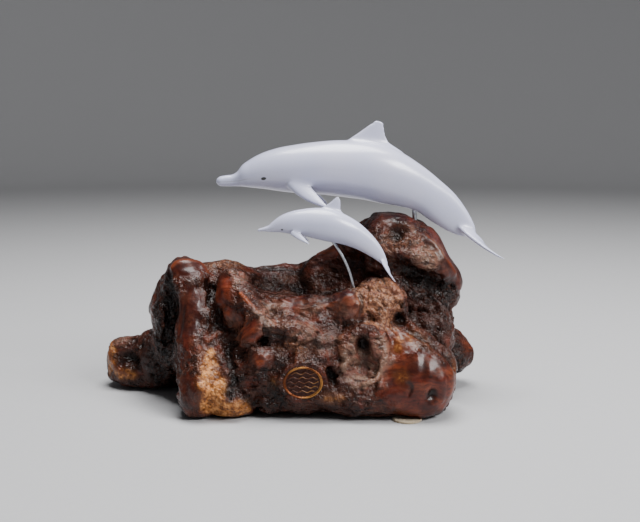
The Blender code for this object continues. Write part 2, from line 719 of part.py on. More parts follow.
def main():
    """Builds the figurine."""
    clear_scene()
    wood = finish_material("polished burl", (0.20, 0.065, 0.035), 0.35)
    pearl = finish_material("pearl white enamel", (0.80, 0.80, 0.86), 0.30)
    steel = finish_material("bright wire", (0.60, 0.60, 0.62), 0.30, 1.0)
    brass = finish_material("antique brass", (0.55, 0.33, 0.12), 0.35, 1.0)
    cork = finish_material("pad", (0.62, 0.50, 0.36), 0.85)

    burl = make_burl(wood)

    base = wood_top(MOTHER_STAND)
    path, touch = wire_path(
        base, MOTHER_WIRE_LEAN, MOTHER_WIRE_LEAN, MOTHER_WIRE_FREE, WIRE_DEPTH_IN_BURL, WIRE_DEPTH_IN_MOTHER, 1
    )
    tube_along("mother_pin", path, MOTHER_WIRE_DIAMETER / 2, 16, steel)
    mother = make_dolphin("mother_dolphin", MOTHER, touch, pearl)
    along = (path[-1] - path[0]).normalized()
    socket(burl, "mother pin hole in burl", base, -along, MOTHER_WIRE_DIAMETER, WIRE_DEPTH_IN_BURL, HOLE_LEAD_IN_BURL)
    socket(mother, "pin hole in mother", touch, along, MOTHER_WIRE_DIAMETER, WIRE_DEPTH_IN_MOTHER, HOLE_LEAD_IN_DOLPHIN)

    base = wood_top(CALF_STAND)
    path, touch = wire_path(
        base, CALF_WIRE_LEAN_LOW, CALF_WIRE_LEAN_HIGH, CALF_WIRE_FREE, WIRE_DEPTH_IN_BURL, WIRE_DEPTH_IN_CALF, 10
    )
    tube_along("calf_wire", path, CALF_WIRE_DIAMETER / 2, 12, steel)
    calf = make_dolphin("calf_dolphin", CALF, touch, pearl)
    down = (path[0] - path[1]).normalized()
    along = (path[-1] - path[-2]).normalized()
    socket(burl, "calf wire hole in burl", base, down, CALF_WIRE_DIAMETER, WIRE_DEPTH_IN_BURL, HOLE_LEAD_IN_BURL)
    socket(calf, "wire hole in calf", touch, along, CALF_WIRE_DIAMETER, WIRE_DEPTH_IN_CALF, HOLE_LEAD_IN_DOLPHIN)

    make_seal(burl, brass)
    for name, x, y in PAD_PLACES:
        make_pad(f"pad_{name}", (x, y), cork)
    centre_all()


main()
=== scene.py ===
"""The finished look of a dolphin and her calf leaping over a polished burl root.

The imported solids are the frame. Every piece here is a surface worked out with numpy in the same place.
Lengths are in metres, except in the burl's own grid, whose steps are 1 mm at the real size.
-X is the way that the dolphins swim, -Y is the front and +Z is up.
"""

import math

import bmesh
import bpy
import numpy as np
from bpy.props import FloatProperty, FloatVectorProperty, PointerProperty
from mathutils import Matrix, Vector


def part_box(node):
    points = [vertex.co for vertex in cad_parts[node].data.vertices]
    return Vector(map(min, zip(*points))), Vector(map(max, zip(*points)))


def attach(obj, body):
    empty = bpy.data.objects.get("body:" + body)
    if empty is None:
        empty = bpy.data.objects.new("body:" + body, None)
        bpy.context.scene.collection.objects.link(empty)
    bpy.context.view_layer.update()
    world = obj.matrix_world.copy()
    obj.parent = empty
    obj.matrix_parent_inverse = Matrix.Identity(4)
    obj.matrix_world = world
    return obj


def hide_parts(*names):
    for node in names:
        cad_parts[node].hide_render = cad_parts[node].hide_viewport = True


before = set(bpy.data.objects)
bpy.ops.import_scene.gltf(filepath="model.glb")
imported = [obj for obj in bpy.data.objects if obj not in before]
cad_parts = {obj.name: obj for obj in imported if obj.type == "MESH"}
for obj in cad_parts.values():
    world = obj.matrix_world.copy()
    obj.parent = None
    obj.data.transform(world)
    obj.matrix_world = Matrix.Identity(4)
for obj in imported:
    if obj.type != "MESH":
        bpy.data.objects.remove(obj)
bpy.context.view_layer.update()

bl_info = {
    "name": "Dolphins over a burl root",
    "version": (1, 0, 0),
    "blender": (4, 5, 0),
    "location": "3D View > Sidebar > Figurine",
    "description": "Dresses a figurine of two dolphins on a burl root",
    "category": "Add Mesh",
}

# The burl's forms in grid steps: lobes and hollows (middle, half sizes, lean about Y in degrees), and
# roots and channels (both ends and the radius at each).

LOBES = (
    ((0, 4, 32), (76, 38, 30), 0),
    ((54, 15, 60), (22, 18, 26), 0),
    ((24, 27, 50), (26, 15, 19), 0),
    ((-20, 36, 8), (46, 18, 14), 0),
    ((-104, 28, 15), (20, 15, 15), 8),
    ((-88, 24, 17), (20, 19, 18), 0),
    ((-65, 9, 42), (25, 32, 33), 0),
    ((-69, -2, 69), (13, 15, 13.5), 0),
    ((-48, 12, 66), (20, 16, 13.5), 0),
    ((-79.5, 14, 41.5), (11.5, 24, 29.5), -6),
    ((-42, -28, 12), (19, 20, 19), 0),
    ((-40, -13, 58), (12, 15.5, 19.5), -8),
    ((-27, -35, 45.5), (10, 9, 6), -35),
    ((-23, -42, 33.5), (5.5, 5.5, 5.5), 0),
    ((-12, 2, 43), (42, 30, 16), 0),
    ((0, -18, 28), (48, 27, 24), 0),
    ((-1, -39, 22), (16, 9, 13), 0),
    ((31, -35, 38), (14, 10, 13), 0),
    ((62, -30, 19), (22, 21, 25), 0),
    ((50, -24, 36), (16, 17, 15), 20),
    ((65.2, 16, 77.1), (19.2, 25, 32.2), -33),
    ((82.2, 17, 63.5), (11.5, 14, 10.5), 10),
    ((47, 17, 88.5), (18, 19, 18.5), 0),
    ((42, -16, 59.5), (14, 15, 14), 0),
    ((24, -24, 58.5), (9, 9.5, 8.5), 0),
    ((70.5, 10, 38), (16.5, 22, 19), 0),
    ((84.5, 28, 20.5), (11.5, 15, 14.5), 12),
    ((-56, 36, 27), (30, 18, 25), -10),
    ((-8, 40, 30), (27, 16, 28), 8),
    ((45, 38, 40), (27, 18, 36), -8),
    ((20, 50, 13), (15, 12, 14), 0),
)
ROOTS = (
    ((-63, -6, 64), (-58, -35, 11), 12, 14),
    ((-37, -23, 60), (-23, -34, 48), 7.5, 6.0),
    ((-23, -34, 48), (-5, -37, 45), 6.0, 6.5),
    ((-21, -19, 53), (5, -24, 54), 9, 8.5),
    ((5, -24, 54), (24, -23, 57), 8.5, 8.5),
    ((-40, 24, 60), (10, 26, 60), 13.5, 14),
    ((45, 15, 87), (12, 18, 68), 17, 15),
    ((-14, -33, 14), (56, -33, 16), 14, 18),
    ((-30, 38, 48), (-38, 52, 10), 9, 12),
    ((75, 22, 33), (88, 28, 20), 13, 12),
)
HOLLOWS = (
    ((75, -12, 65.5), (28, 18, 9.5), 24),
    ((58, -17, 75), (9, 10, 10), 0),
    ((51.5, -3.6, 99.5), (6, 6.5, 6.5), 0),
    ((-49, -36, 55), (5.5, 13, 9.5), 8),
    ((-53, -20, 70), (4, 12, 12), 10),
    ((-78, -20, 50), (5.5, 13, 24), 4),
    ((-22, -45, 42.5), (2.0, 6.5, 3.6), 30),
    ((31.2, -48.5, 35.5), (4.4, 8.5, 9), 0),
    ((30.2, -46, 41.5), (3.6, 9.5, 3.6), 0),
    ((13.5, -50, 25), (2.6, 8.5, 5.5), -10),
    ((51, -32, 52), (4.4, 10, 4), 20),
    ((67.5, -53.5, 16.5), (3.4, 5.5, 4), 15),
    ((-107, 10.5, 19), (7, 6.5, 5), 10),
    ((13, 3, 76), (21, 12, 17), -20),
    ((18, 58, 44), (10, 13, 15), 12),
    ((-24, 60, 40), (6, 12, 24), 10),
    ((80, 6, 24), (14, 9, 8), 0),
)
CHANNELS = (
    ((-44, -40, 49), (-38.5, -46, 33), 4, 4.5),
    ((-38.5, -46, 33), (-35, -49, 20), 4.5, 5),
    ((-35, -49, 20), (-25, -51, 10), 5, 4),
)

# Swells (strength and a wavelength along each axis), the region that the burl lies in, how softly lobes
# grow together, how round the edge of a hollow is, and the level at which the underside is sawn.

SWELLS = ((0.9, (31, 37, 29)), (0.6, (17, 21, 19)))
BURL_REGION = ((-129.0, -62.0, -4.0), (105.0, 66.0, 118.0))
CREASE = 2.2
HOLLOW_EDGE = 1.8
SAWN_LEVEL = 1.5

# Folds in the wood's skin: how far each one stands up, or is cut in where it is negative, its half width,
# and the points that it runs through.

CREST = ((-36, -29, 67), (-31, -32, 62), (-26, -35, 57), (-21, -38, 54), (-17, -39, 51), (-10, -41, 50))
FOLDS = (
    (2.4, 2.5, CREST),
    (0.8, 4.5, CREST),
    (1.4, 3.2, ((-5, -30, 58), (-1, -32, 57), (4, -32, 59), (11, -30, 60), (17, -30, 62))),
    (1.1, 3.0, ((-24, -18, 64), (-18, -23, 62), (-11, -26, 61))),
    (1.4, 3.0, ((-54, -32, 41), (-49, -25, 44), (-43, -26, 47))),
    (1.4, 2.6, ((-42, -29, 40), (-37, -34, 43), (-34, -36, 49), (-32, -36, 55))),
    (1.4, 4.1, ((-24, -40, 53), (-28, -43, 49), (-32, -42, 45), (-36, -38, 40))),
    (2.4, 4.2, ((20, -38, 44), (20, -42, 36), (21, -45, 29), (26, -49, 23), (32, -50, 21), (38, -49, 25))),
    (2.2, 4.0, ((38, -49, 25), (42, -46, 32), (43, -42, 40), (41, -38, 46))),
    (1.7, 4.7, ((-77, -13, 79), (-74, -11, 81), (-67, -9, 82), (-61, -5, 80), (-57, -8, 75))),
    (1.0, 3.5, ((-57, -16, 64), (-55, -24, 54), (-54, -28, 46), (-56, -36, 34))),
    (1.2, 4.7, ((64, 3, 103), (72, -1, 95), (80, -2, 84), (87, 3, 74))),
    (1.4, 3.7, ((43, -31, 50), (46, -35, 46), (51, -40, 40), (53, -45, 34))),
    (0.8, 4.2, ((66, -40, 41), (70, -45, 34), (72, -49, 24), (72, -48, 12))),
    (1.1, 4.1, ((-49, -14, 73), (-51, -16, 66), (-48, -24, 60), (-44, -28, 53))),
    (1.4, 2.6, ((36, -31, 57), (40, -31, 53), (45, -32, 48))),
    (1.6, 4.1, ((-118, 24, 27), (-119, 20, 21), (-117, 17, 15), (-112, 15, 11), (-106, 13, 10))),
    (1.1, 3.2, ((-58, -36, 38), (-58, -39, 33), (-56, -41, 28), (-58, -45, 22), (-60, -46, 15))),
    (1.2, 2.4, ((-5, -43, 37), (-5, -46, 32))),
    (-2.0, 3.2, ((-56, -12, 70), (-55, -17, 58), (-51, -23, 51), (-46, -25, 47))),
    (-1.9, 3.5, ((-43, -28, 40), (-42, -35, 32), (-40, -42, 25), (-37, -45, 18), (-31, -46, 11),
                 (-26, -43, 5))),
    (-2.0, 2.6, ((-24, -41, 50), (-20, -42, 47), (-14, -41, 45), (-6, -43, 44))),
    (-1.5, 3.0, ((-2, -43, 41), (6, -42, 40), (14, -40, 40), (20, -42, 44))),
    (-1.9, 2.6, ((31, -22, 72), (30, -28, 66), (31, -31, 60), (29, -33, 53))),
    (-1.6, 3.5, ((-23, -46, 29), (-20, -47, 22), (-18, -46, 15), (-11, -46, 9))),
    (-2.0, 4.3, ((-79, -12, 76), (-78, -9, 60), (-79, -8, 45), (-80, -11, 30), (-84, -6, 18))),
    (-1.8, 3.5, ((52, -31, 50), (58, -35, 46), (66, -37, 42), (74, -39, 37), (80, -38, 28))),
    (-1.6, 3.5, ((-101, 14, 30), (-95, 15, 22), (-91, 10, 12))),
    (-0.9, 4.0, ((62, -40, 42), (63, -47, 34), (63, -51, 26))),
    (-1.4, 2.2, ((53, -52, 24), (57, -51, 21), (56, -50, 15))),
    (-1.4, 2.6, ((44, -5, 98), (46, -7, 90), (50, -9, 82))),
    (-1.4, 2.6, ((60, -6, 98), (60, -8, 88), (62, -10, 80))),
    (-1.6, 3.2, ((-66, -22, 68), (-69, -27, 55), (-71, -33, 40), (-72, -37, 24))),
    (-1.5, 3.0, ((-30, 4, 68), (-18, -3, 66), (-4, -6, 64), (8, -4, 64))),
    (-1.4, 3.0, ((-28, 18, 74), (-12, 20, 73), (4, 18, 74))),
    (1.1, 4.1, ((-50, 54, 40), (-44, 56, 28), (-40, 60, 14))),
    (-1.8, 3.5, ((20, 56, 56), (30, 55, 42), (28, 56, 26), (36, 54, 10))),
    (1.2, 4.3, ((52, 48, 70), (58, 50, 52), (56, 54, 30))),
)

# Where the wood looks different, and where shade and a highlight are painted on it: zones as lobes, with
# how strong each one is.

POLISHED = (
    ((-66, -8, 80), (15, 12, 7), 0, 0.95),
    ((-64, -26, 50), (8, 12, 32), 0, 0.85),
    ((-63, -44, 14), (9, 9, 12), 0, 0.65),
    ((-47, -22, 66), (6, 10, 11), -8, 1.0),
    ((-39, -32, 53), (5, 7, 9), -25, 0.9),
    ((-30, -42, 48), (8, 6, 5), -35, 1.0),
    ((-22, -47, 34), (5, 5, 5), 0, 1.0),
    ((0, -27, 60), (24, 7, 4), 0, 0.85),
    ((2, -36, 53), (20, 6, 3.5), -3, 0.6),
    ((23, -31, 61), (8, 8, 9), 0, 1.0),
    ((62, -46, 19), (22, 16, 19), 0, 1.0),
    ((-10, 14, 76), (32, 12, 5), 0, 0.6),
    ((36, 14, 84), (14, 12, 6), -20, 0.6),
    ((52, -38, 41), (10, 10, 9), 20, 0.8),
    ((84, 4, 82), (8, 20, 25), -28, 1.0),
    ((55, 12, 106), (22, 16, 5), -10, 0.8),
    ((12, 14, 85), (10, 12, 5), -20, 0.95),
    ((-99, 9, 15), (6, 4, 5), 0, 0.8),
    ((-93, -2, 52), (5, 12, 22), 0, 0.55),
    ((97, 20, 26), (4, 10, 9), 0, 0.8),
    ((-62, 20, 74), (12, 14, 6), 0, 0.6),
    ((50, 50, 50), (22, 14, 26), -8, 0.8),
    ((-60, 50, 34), (20, 12, 14), -10, 0.8),
    ((-8, 54, 46), (18, 10, 12), 8, 0.7),
    ((20, 58, 14), (13, 10, 10), 0, 0.8),
    ((-40, -50, 3), (24, 10, 3), 0, 0.5),
)
GOLDEN = (
    ((-50, -44, 14), (8, 10, 14), -14, 1.0),
    ((-53, -38, 30), (3.5, 8, 9), -6, 0.9),
    ((-38, -48, 6), (15, 8, 6), 0, 1.0),
    ((-119, 20, 18), (3.5, 11, 11), 0, 0.9),
    ((-110, 14, 10), (9, 5, 3.5), 0, 0.85),
    ((52, -50, 26), (4, 5, 3.5), 0, 0.5),
    ((60, -37, 43), (9, 8, 5), 20, 0.35),
    ((80, -38, 24), (4, 10, 10), 0, 0.3),
    ((50, -40, 42), (4, 7, 6), 20, 0.55),
    ((15, -50, 13), (6, 5, 2.5), 0, 0.6),
    ((-18, -47, 20), (2.5, 4, 3.5), 0, 0.6),
    ((12, 10, 88), (5, 8, 2.5), -20, 0.5),
    ((-36, 62, 8), (12, 12, 9), 0, 0.8),
    ((60, 52, 10), (14, 12, 8), 0, 0.6),
)
# Painted shade: the polished wood is darkened towards deep red on these lobes.
PAINTED_SHADE = (
    ((-66, -8, 80), (16, 13, 9), 0, 1.0),
    ((-62, -22, 54), (9, 14, 28), 0, 1.0),
    ((-62, -42, 22), (7, 9, 18), 0, 0.9),
    ((84, 4, 82), (9, 20, 25), -28, 0.6),
    ((46, 2, 103), (14, 14, 6), -10, 0.7),
    ((62, -44, 34), (12, 12, 8), 20, 0.5),
    ((56, -50, 14), (12, 8, 12), 0, 0.4),
    ((-108, 16, 20), (12, 10, 12), 0, 0.6),
)
BARKY = (
    ((42, -24, 64), (13, 12, 12), 0, 1.0),
    ((52, -27, 61), (4, 5, 4), 0, 1.0),
    ((42, -32, 52), (11, 6, 7), 0, 0.85),
    ((31, -24, 66), (8, 8, 7), 0, 0.7),
    ((54, -2, 93), (13, 10, 12), 0, 0.25),
    ((-47, 8, 79), (15, 14, 5), 0, 0.4),
    ((12, 60, 28), (16, 10, 14), 0, 0.5),
    ((-8, -44, 38), (9, 4, 5), 0, 0.4),
)
PALE_AND_HIGHLIGHT = (
    ((32, -44, 32), (15, 9, 15), 0, 1.0),
    ((-19, -30, 58), (10, 8, 5), 5, 0.75),
    ((-38, -20, 74), (4, 8, 5), 0, 0.8),
    ((-38, -30, 46), (6, 7, 7), 0, 0.45),
    ((24, -32, 58), (8, 6, 7), 0, 0.4),
    ((76, -4, 90), (8, 8, 6), -28, 0.5),
    ((-6, -40, 50), (14, 5, 5), 0, 0.6),
    # Painted highlight: this lobe lightens the wood along the crest.
    ((-22, -38, 55), (8, 6, 5), 35, 0.8),
    ((5, -42, 44), (15, 6, 7), 0, 0.55),
    ((69, -8, 85), (7, 9, 11), -28, 0.95),
    ((-56, -38, 33), (3.5, 6, 9), 0, 0.6),
    ((4, -32, 59), (11, 4, 3), 0, 0.6),
    ((-8, 6, 67), (22, 12, 5), 0, 0.4),
    ((-113, 25, 30), (6, 8, 4), 0, 0.7),
    ((46, -4, 92), (9, 8, 12), 0, 0.2),
    ((2, 55, 40), (14, 8, 10), 0, 0.4),
)
# Dark char in the wood, and painted shade: dark colour in the holes, under the hump's overhang and along
# the bottom edge.
CHAR_AND_SHADE = (
    ((-80, -9, 50), (10, 14, 31), 0, 1.0),
    ((-84, 4, 16), (13, 12, 15), 0, 0.85),
    ((-50, -24, 53), (5, 10, 9), 8, 1.0),
    ((-56, -13, 66), (3.5, 7, 8), 10, 0.7),
    ((-42, -34, 33), (4.5, 9, 9), -12, 1.0),
    ((-39, -44, 20), (4.5, 8, 9), 20, 1.0),
    ((-29, -44, 10), (8, 8, 6), 20, 0.9),
    ((-17, -45, 14), (9, 6, 9), 0, 0.85),
    ((-22, -40, 44), (5, 5, 4), -30, 1.0),
    ((-12, -41, 46), (8, 4, 2.5), 0, 0.6),
    # Painted shade under the hump's overhang.
    ((72, 0, 66), (22, 15, 11), 24, 1.0),
    ((72, -6, 46), (16, 11, 12), 10, 0.6),
    ((88, 14, 20), (8, 10, 10), 0, 0.9),
    ((49, -21, 51), (5, 6, 5), 20, 1.0),
    ((30, -36, 41), (4.5, 6, 4.5), 0, 1.0),
    ((12, -43, 25), (3.5, 8, 6), 0, 1.0),
    ((67, -46, 15), (5, 6, 6), 0, 0.85),
    ((-35, -31, 57), (3, 6, 6.5), -25, 0.7),
    ((52, 4, 100), (6, 8, 7.5), 0, 0.8),
    ((53, -7, 76), (5, 9, 12), 0, 0.9),
    ((-105, 12, 19), (7, 7, 5.5), 10, 0.9),
    ((-93, 14, 20), (6, 9, 9), 10, 0.6),
    # Painted shade under the ledge above it.
    ((8, -41, 41), (12, 4, 2.5), 0, 0.55),
    ((20, -18, 66), (5, 6, 4), 0, 0.5),
    ((0, 0, 62), (16, 8, 4), 0, 0.25),
    ((18, 56, 44), (10, 10, 14), 12, 0.8),
    ((-24, 58, 38), (7, 10, 22), 10, 0.8),
    ((18, -48, 18), (14, 10, 12), 0, 0.5),
    # Painted shade along the bottom edge.
    ((0, -46, 6), (34, 12, 7), 0, 0.45),
    ((-18, -44, 28), (8, 6, 10), 20, 0.5),
)

# The dolphins, as shares of the length from beak to tail notch. Stations: place, height above the axis,
# depth below it and half width. Bends: place and pitch of the axis in degrees. Fins, from root to tip:
# distance from the root, front edge, back edge, thickness and rise.

MOTHER_STATIONS = (
    (0.000, 0.0165, 0.0175, 0.0160),
    (0.037, 0.0182, 0.0210, 0.0185),
    (0.068, 0.0195, 0.0255, 0.0225),
    (0.082, 0.0265, 0.0285, 0.0290),
    (0.0965, 0.0405, 0.0325, 0.0380),
    (0.1316, 0.0585, 0.0430, 0.0510),
    (0.167, 0.0710, 0.0530, 0.0615),
    (0.223, 0.0822, 0.0695, 0.0745),
    (0.2965, 0.0880, 0.0853, 0.0855),
    (0.367, 0.0926, 0.0937, 0.0905),
    (0.447, 0.0990, 0.1000, 0.0920),
    (0.542, 0.1025, 0.1025, 0.0885),
    (0.614, 0.0965, 0.1015, 0.0815),
    (0.690, 0.0810, 0.0900, 0.0670),
    (0.772, 0.0680, 0.0715, 0.0470),
    (0.852, 0.0590, 0.0670, 0.0300),
    (0.924, 0.0415, 0.0530, 0.0190),
    (0.955, 0.0310, 0.0410, 0.0160),
    (1.000, 0.0120, 0.0120, 0.0120),
)
CALF_STATIONS = (
    (0.000, 0.0110, 0.0090, 0.0110),
    (0.028, 0.0122, 0.0105, 0.0125),
    (0.055, 0.0160, 0.0160, 0.0160),
    (0.083, 0.0235, 0.0240, 0.0220),
    (0.105, 0.0380, 0.0284, 0.0290),
    (0.128, 0.0525, 0.0328, 0.0375),
    (0.161, 0.0705, 0.0400, 0.0500),
    (0.216, 0.0896, 0.0557, 0.0670),
    (0.271, 0.1005, 0.0690, 0.0785),
    (0.325, 0.1065, 0.0810, 0.0860),
    (0.380, 0.1120, 0.0940, 0.0920),
    (0.435, 0.1160, 0.1030, 0.0950),
    (0.490, 0.1160, 0.1075, 0.0955),
    (0.546, 0.1085, 0.1050, 0.0925),
    (0.604, 0.0995, 0.0985, 0.0850),
    (0.664, 0.0910, 0.0890, 0.0740),
    (0.727, 0.0785, 0.0775, 0.0580),
    (0.795, 0.0650, 0.0650, 0.0420),
    (0.869, 0.0490, 0.0490, 0.0280),
    (0.927, 0.0330, 0.0330, 0.0190),
    (0.966, 0.0205, 0.0205, 0.0150),
    (1.000, 0.0110, 0.0110, 0.0110),
)
MOTHER_BEND = (
    (0.00, 4.5), (0.10, 10.5), (0.20, 8.5), (0.35, 3), (0.45, -3.5), (0.55, -9.5),
    (0.65, -20.5), (0.75, -31.8), (0.85, -39), (0.95, -44), (1.00, -47),
)
CALF_BEND = (
    (0.00, 11), (0.10, 9), (0.20, 7), (0.30, 3.5), (0.40, -2), (0.50, -10.5), (0.60, -22),
    (0.70, -31), (0.80, -39.5), (0.90, -49), (1.00, -62),
)
MOTHER_DORSAL = (
    (0.060, -0.150, 0.125, 0.050, 0.0),
    (0.0895, -0.114, 0.088, 0.032, 0.0),
    (0.1126, -0.0895, 0.037, 0.0235, 0.0),
    (0.131, -0.0705, 0.0215, 0.0195, 0.0),
    (0.149, -0.0530, 0.0135, 0.0165, 0.0),
    (0.161, -0.0410, 0.0092, 0.0140, 0.0),
    (0.1705, -0.0290, 0.0050, 0.0110, 0.0),
)
CALF_DORSAL = (
    (0.070, -0.125, 0.125, 0.050, 0.0),
    (0.100, -0.096, 0.078, 0.033, 0.0),
    (0.120, -0.068, 0.056, 0.025, 0.0),
    (0.145, -0.040, 0.049, 0.021, 0.0),
    (0.170, -0.017, 0.043, 0.018, 0.0),
    (0.189, -0.003, 0.037, 0.014, 0.0),
    (0.199, 0.007, 0.028, 0.009, 0.0),
)
FLUKE = (
    (-0.004, -0.100, 0.018, 0.030, 0.000),
    (0.014, -0.082, 0.030, 0.027, 0.000),
    (0.036, -0.048, 0.044, 0.020, -0.008),
    (0.062, -0.003, 0.064, 0.015, -0.014),
    (0.088, 0.045, 0.086, 0.010, -0.017),
    (0.106, 0.085, 0.104, 0.0065, -0.016),
    (0.114, 0.104, 0.111, 0.0040, -0.014),
)
MOTHER_FLIPPER = (
    (-0.022, -0.040, 0.035, 0.036, 0.0),
    (0.004, -0.037, 0.029, 0.027, 0.0),
    (0.035, -0.031, 0.024, 0.021, 0.0),
    (0.068, -0.021, 0.023, 0.016, 0.0),
    (0.098, -0.007, 0.022, 0.012, 0.0),
    (0.123, 0.007, 0.022, 0.008, 0.0),
    (0.133, 0.014, 0.021, 0.005, 0.0),
)
CALF_FLIPPER = (
    (-0.022, -0.037, 0.035, 0.036, 0.0),
    (0.004, -0.031, 0.029, 0.027, 0.0),
    (0.035, -0.022, 0.024, 0.021, 0.0),
    (0.068, -0.010, 0.023, 0.016, 0.0),
    (0.098, 0.004, 0.022, 0.012, 0.0),
    (0.119, 0.014, 0.022, 0.008, 0.0),
    (0.126, 0.018, 0.021, 0.005, 0.0),
)

# Where a flipper's root is below and beside the axis, how far it is turned back and down in degrees, and
# how far the rounding of the beak and of the tail's end reaches.

FLIPPER_LOW = -0.050
FLIPPER_OUT = 0.066
FLIPPER_TURN = (33.0, 58.0)
BEAK_ROUNDING = 0.022
TAIL_ROUNDING = 0.030

# How far a fin reaches past its table, and from which share of it the tip is rounded.

FIN_TIP = (0.003, 0.94)
DORSAL_TIP = (0.001, 0.95)

# Each dolphin: its length in metres, its tables, the places of its fins and of its belly's touch as
# shares of the length, and its angles in degrees. Eye: place, height over the axis, half length and half
# height. Mouth: place and height of the lips over the axis.

MOTHER = {
    "node": "mother_dolphin",
    "length": 0.1650,
    "stations": MOTHER_STATIONS,
    "bend": MOTHER_BEND,
    "dorsal": MOTHER_DORSAL,
    "dorsal station": 0.56,
    "fluke pitch": -32.0,
    "flipper": MOTHER_FLIPPER,
    "flipper station": 0.297,
    "belly": 0.765,
    "roll": 1.5,
    "eye": (0.172, -0.0145, 0.0096, 0.0056),
    "mouth": ((0.000, -0.002), (0.040, -0.004), (0.080, -0.0075), (0.112, -0.0060), (0.138, -0.0100)),
}
CALF = {
    "node": "calf_dolphin",
    "length": 0.0808,
    "stations": CALF_STATIONS,
    "bend": CALF_BEND,
    "dorsal": CALF_DORSAL,
    "dorsal station": 0.50,
    "fluke pitch": -52.0,
    "flipper": CALF_FLIPPER,
    "flipper station": 0.265,
    "belly": 0.557,
    "roll": 2.0,
    "eye": (0.171, -0.0175, 0.0080, 0.0060),
    "mouth": ((0.000, -0.001), (0.040, -0.003), (0.080, -0.0050), (0.112, -0.0040), (0.132, -0.0080)),
}

# Where the wires, the seal and the pads stand, in grid steps, and the seal's tilt in degrees. Wires: the
# leans at both ends in degrees, the lengths that are free, in the wood and in the casting, in metres, and
# the number of bends.

MOTHER_STAND = (63.5, 16.0)
MOTHER_WIRE = {"low": 4.0, "high": 4.0, "free": 0.0052, "under": 0.0090, "over": 0.0060, "bends": 1}
CALF_STAND = (26.5, -18.0)
CALF_WIRE = {"low": 10.0, "high": 38.0, "free": 0.0284, "under": 0.0090, "over": 0.0035, "bends": 40}
SEAL_PLACE = (-1.4, 22.0)
SEAL_TILT = 8.0
PAD_PLACES = {"front_right": (55.0, -44.0), "front_left": (-44.0, -27.0), "back": (0.0, 38.0)}

# The wood round the seal: half sizes of the raised bed, of the cleared wood and of the pocket, their
# levels from the seal's face, and how round their edges are.

BED_HALVES, BED_LEVEL, BED_EDGE = (13.0, 10.8), 1.2, 0.8
CLEAR_HALVES, CLEAR_LEVEL, CLEAR_SLOPE, CLEAR_EDGE = (11.3, 9.1), 1.1, 0.8, 0.3
POCKET_HALVES, POCKET_DEPTH = (10.2, 8.05), 2.2

# The seal's face, in metres: the height of its rim as a share of the rim's width, how deep the field is,
# and the places, half width and height of its waves.

RIM_CROWN = 0.45
FIELD_DEPTH = 0.00025
SEAL_ROWS = (0.56, 0.28, 0.0, -0.28, -0.56)
WAVE_WIDTH = 0.00026
WAVE_HEIGHT = 0.00028

# Noise: large primes for the lattice, odd numbers that mix bits, and layers of strength and size that
# make zones ragged, let the grain drift and let the wood grow unevenly.

AXIS_PRIMES = (73856093, 19349663, 83492791)
SEED_PRIME = 7919
SEED_SHIFT = 0.37
MIXERS = (1274126177, 2246822519)
RAGGED = ((1.0, 9), (0.6, 3.5))
DRIFT = ((1.0, 14), (0.4, 6))
GROWTH = ((1.6, 19), (1.2, 8.5), (0.5, 4.5))

# How noise moves the zones and how soft their edges are, where the grain runs up and how far it stretches
# the noise, how calm the growth is in polished wood and round the seal and the wires, where the relief is
# quiet, how far the grain and the folds drift, how quiet the relief is in polished wood, where pits
# begin, and the relief's mean.

ZONE_SHAKE, ZONE_EDGE = 3.0, 8.0
GOLDEN_SHAKE, GOLDEN_EDGE = 1.6, 7.0
UPRIGHT = (-100, -44)
GRAIN_ALONG, GRAIN_UP = (3.2, 1.0, 1.0), (1.0, 1.0, 3.2)
POLISHED_CALM, POLISHED_EDGE = 0.6, 5.5
CALM_RADIUS, CALM_FADE = 6, 12
QUIET_RADIUS, QUIET_FADE = 1.5, 4
DRIFT_REACH, FOLD_DRIFT = 4.5, 0.8
POLISHED_QUIET, PIT_LEVEL, MEAN_RELIEF = 0.96, 0.40, 0.25

# How the burl's surface is found: the coarse grid's step in cells, how near the surface the fine grid is
# worked out and the wood is weathered, the step that finds a slope, the reach and scale that find a
# hollow, where a wire's ray starts, how far a ray reaches and its step, the range in which a distance
# counts, and numbers that keep a division from zero.

COARSENESS = 4
NEAR_SURFACE = 6.0
WEATHERED = 4.5
PROBE = 0.4
HOLLOW_PROBE, HOLLOW_SCALE = 5.0, 0.16
WIRE_START, RAY_REACH, RAY_STEP = 20.0, 110.0, 0.05
FIELD_RANGE = (-60, 200)
TINY = 1e-9
TINY_LENGTH = 1e-12

# Steps along a dolphin's axis, points along and round each piece, and how near its box's sides the burl
# is drawn in, in metres.

AXIS_STEPS = 800
BODY_RINGS, BODY_SIDES = 260, 96
FIN_RINGS, FIN_SIDES = 70, 56
PIN_SIDES, WIRE_SIDES = 32, 24
SEAL_RINGS, SEAL_SIDES = 84, 144
PAD_SIDES = 96
FLOOR_SIDES = 96
BOX_EDGE = 0.0015

# How a dolphin's skin is smoothed: the rounds before and after its creases are filled, the shares in and
# out, the rounds of filling, and where the creases are, along and up with their reach, as shares of the
# length.

SMOOTH_FIRST, SMOOTH_LAST = 5, 3
SMOOTH_IN, SMOOTH_OUT = 0.50, 0.52
FILL_ROUNDS = 90
DORSAL_CREASE = (-0.03, 0.095, 0.105)
TAIL_CREASE = (-0.03, 0.03, 0.07)
FLIPPER_CREASE = 0.062

# A wire's bevel and the radius of its end, as shares of its radius. A pad's bevel, as a share of its
# thickness, and how much its edge wavers. The floor in metres: the radii where it is flat, where it bends
# up, the arc's radius and its top.

WIRE_BEVEL, WIRE_END = 0.3, 0.7
PAD_BEVEL, PAD_WAVER = 0.28, 0.006
FLOOR_RADII = (0.001, 0.4, 1.0, 1.7)
FLOOR_BEND, FLOOR_ARC = 1.9, 0.6
FLOOR_TOP = (2.5, 1.3)

# The lights (place and size), the point that they face, the sky's colour and the camera, in metres and
# degrees.

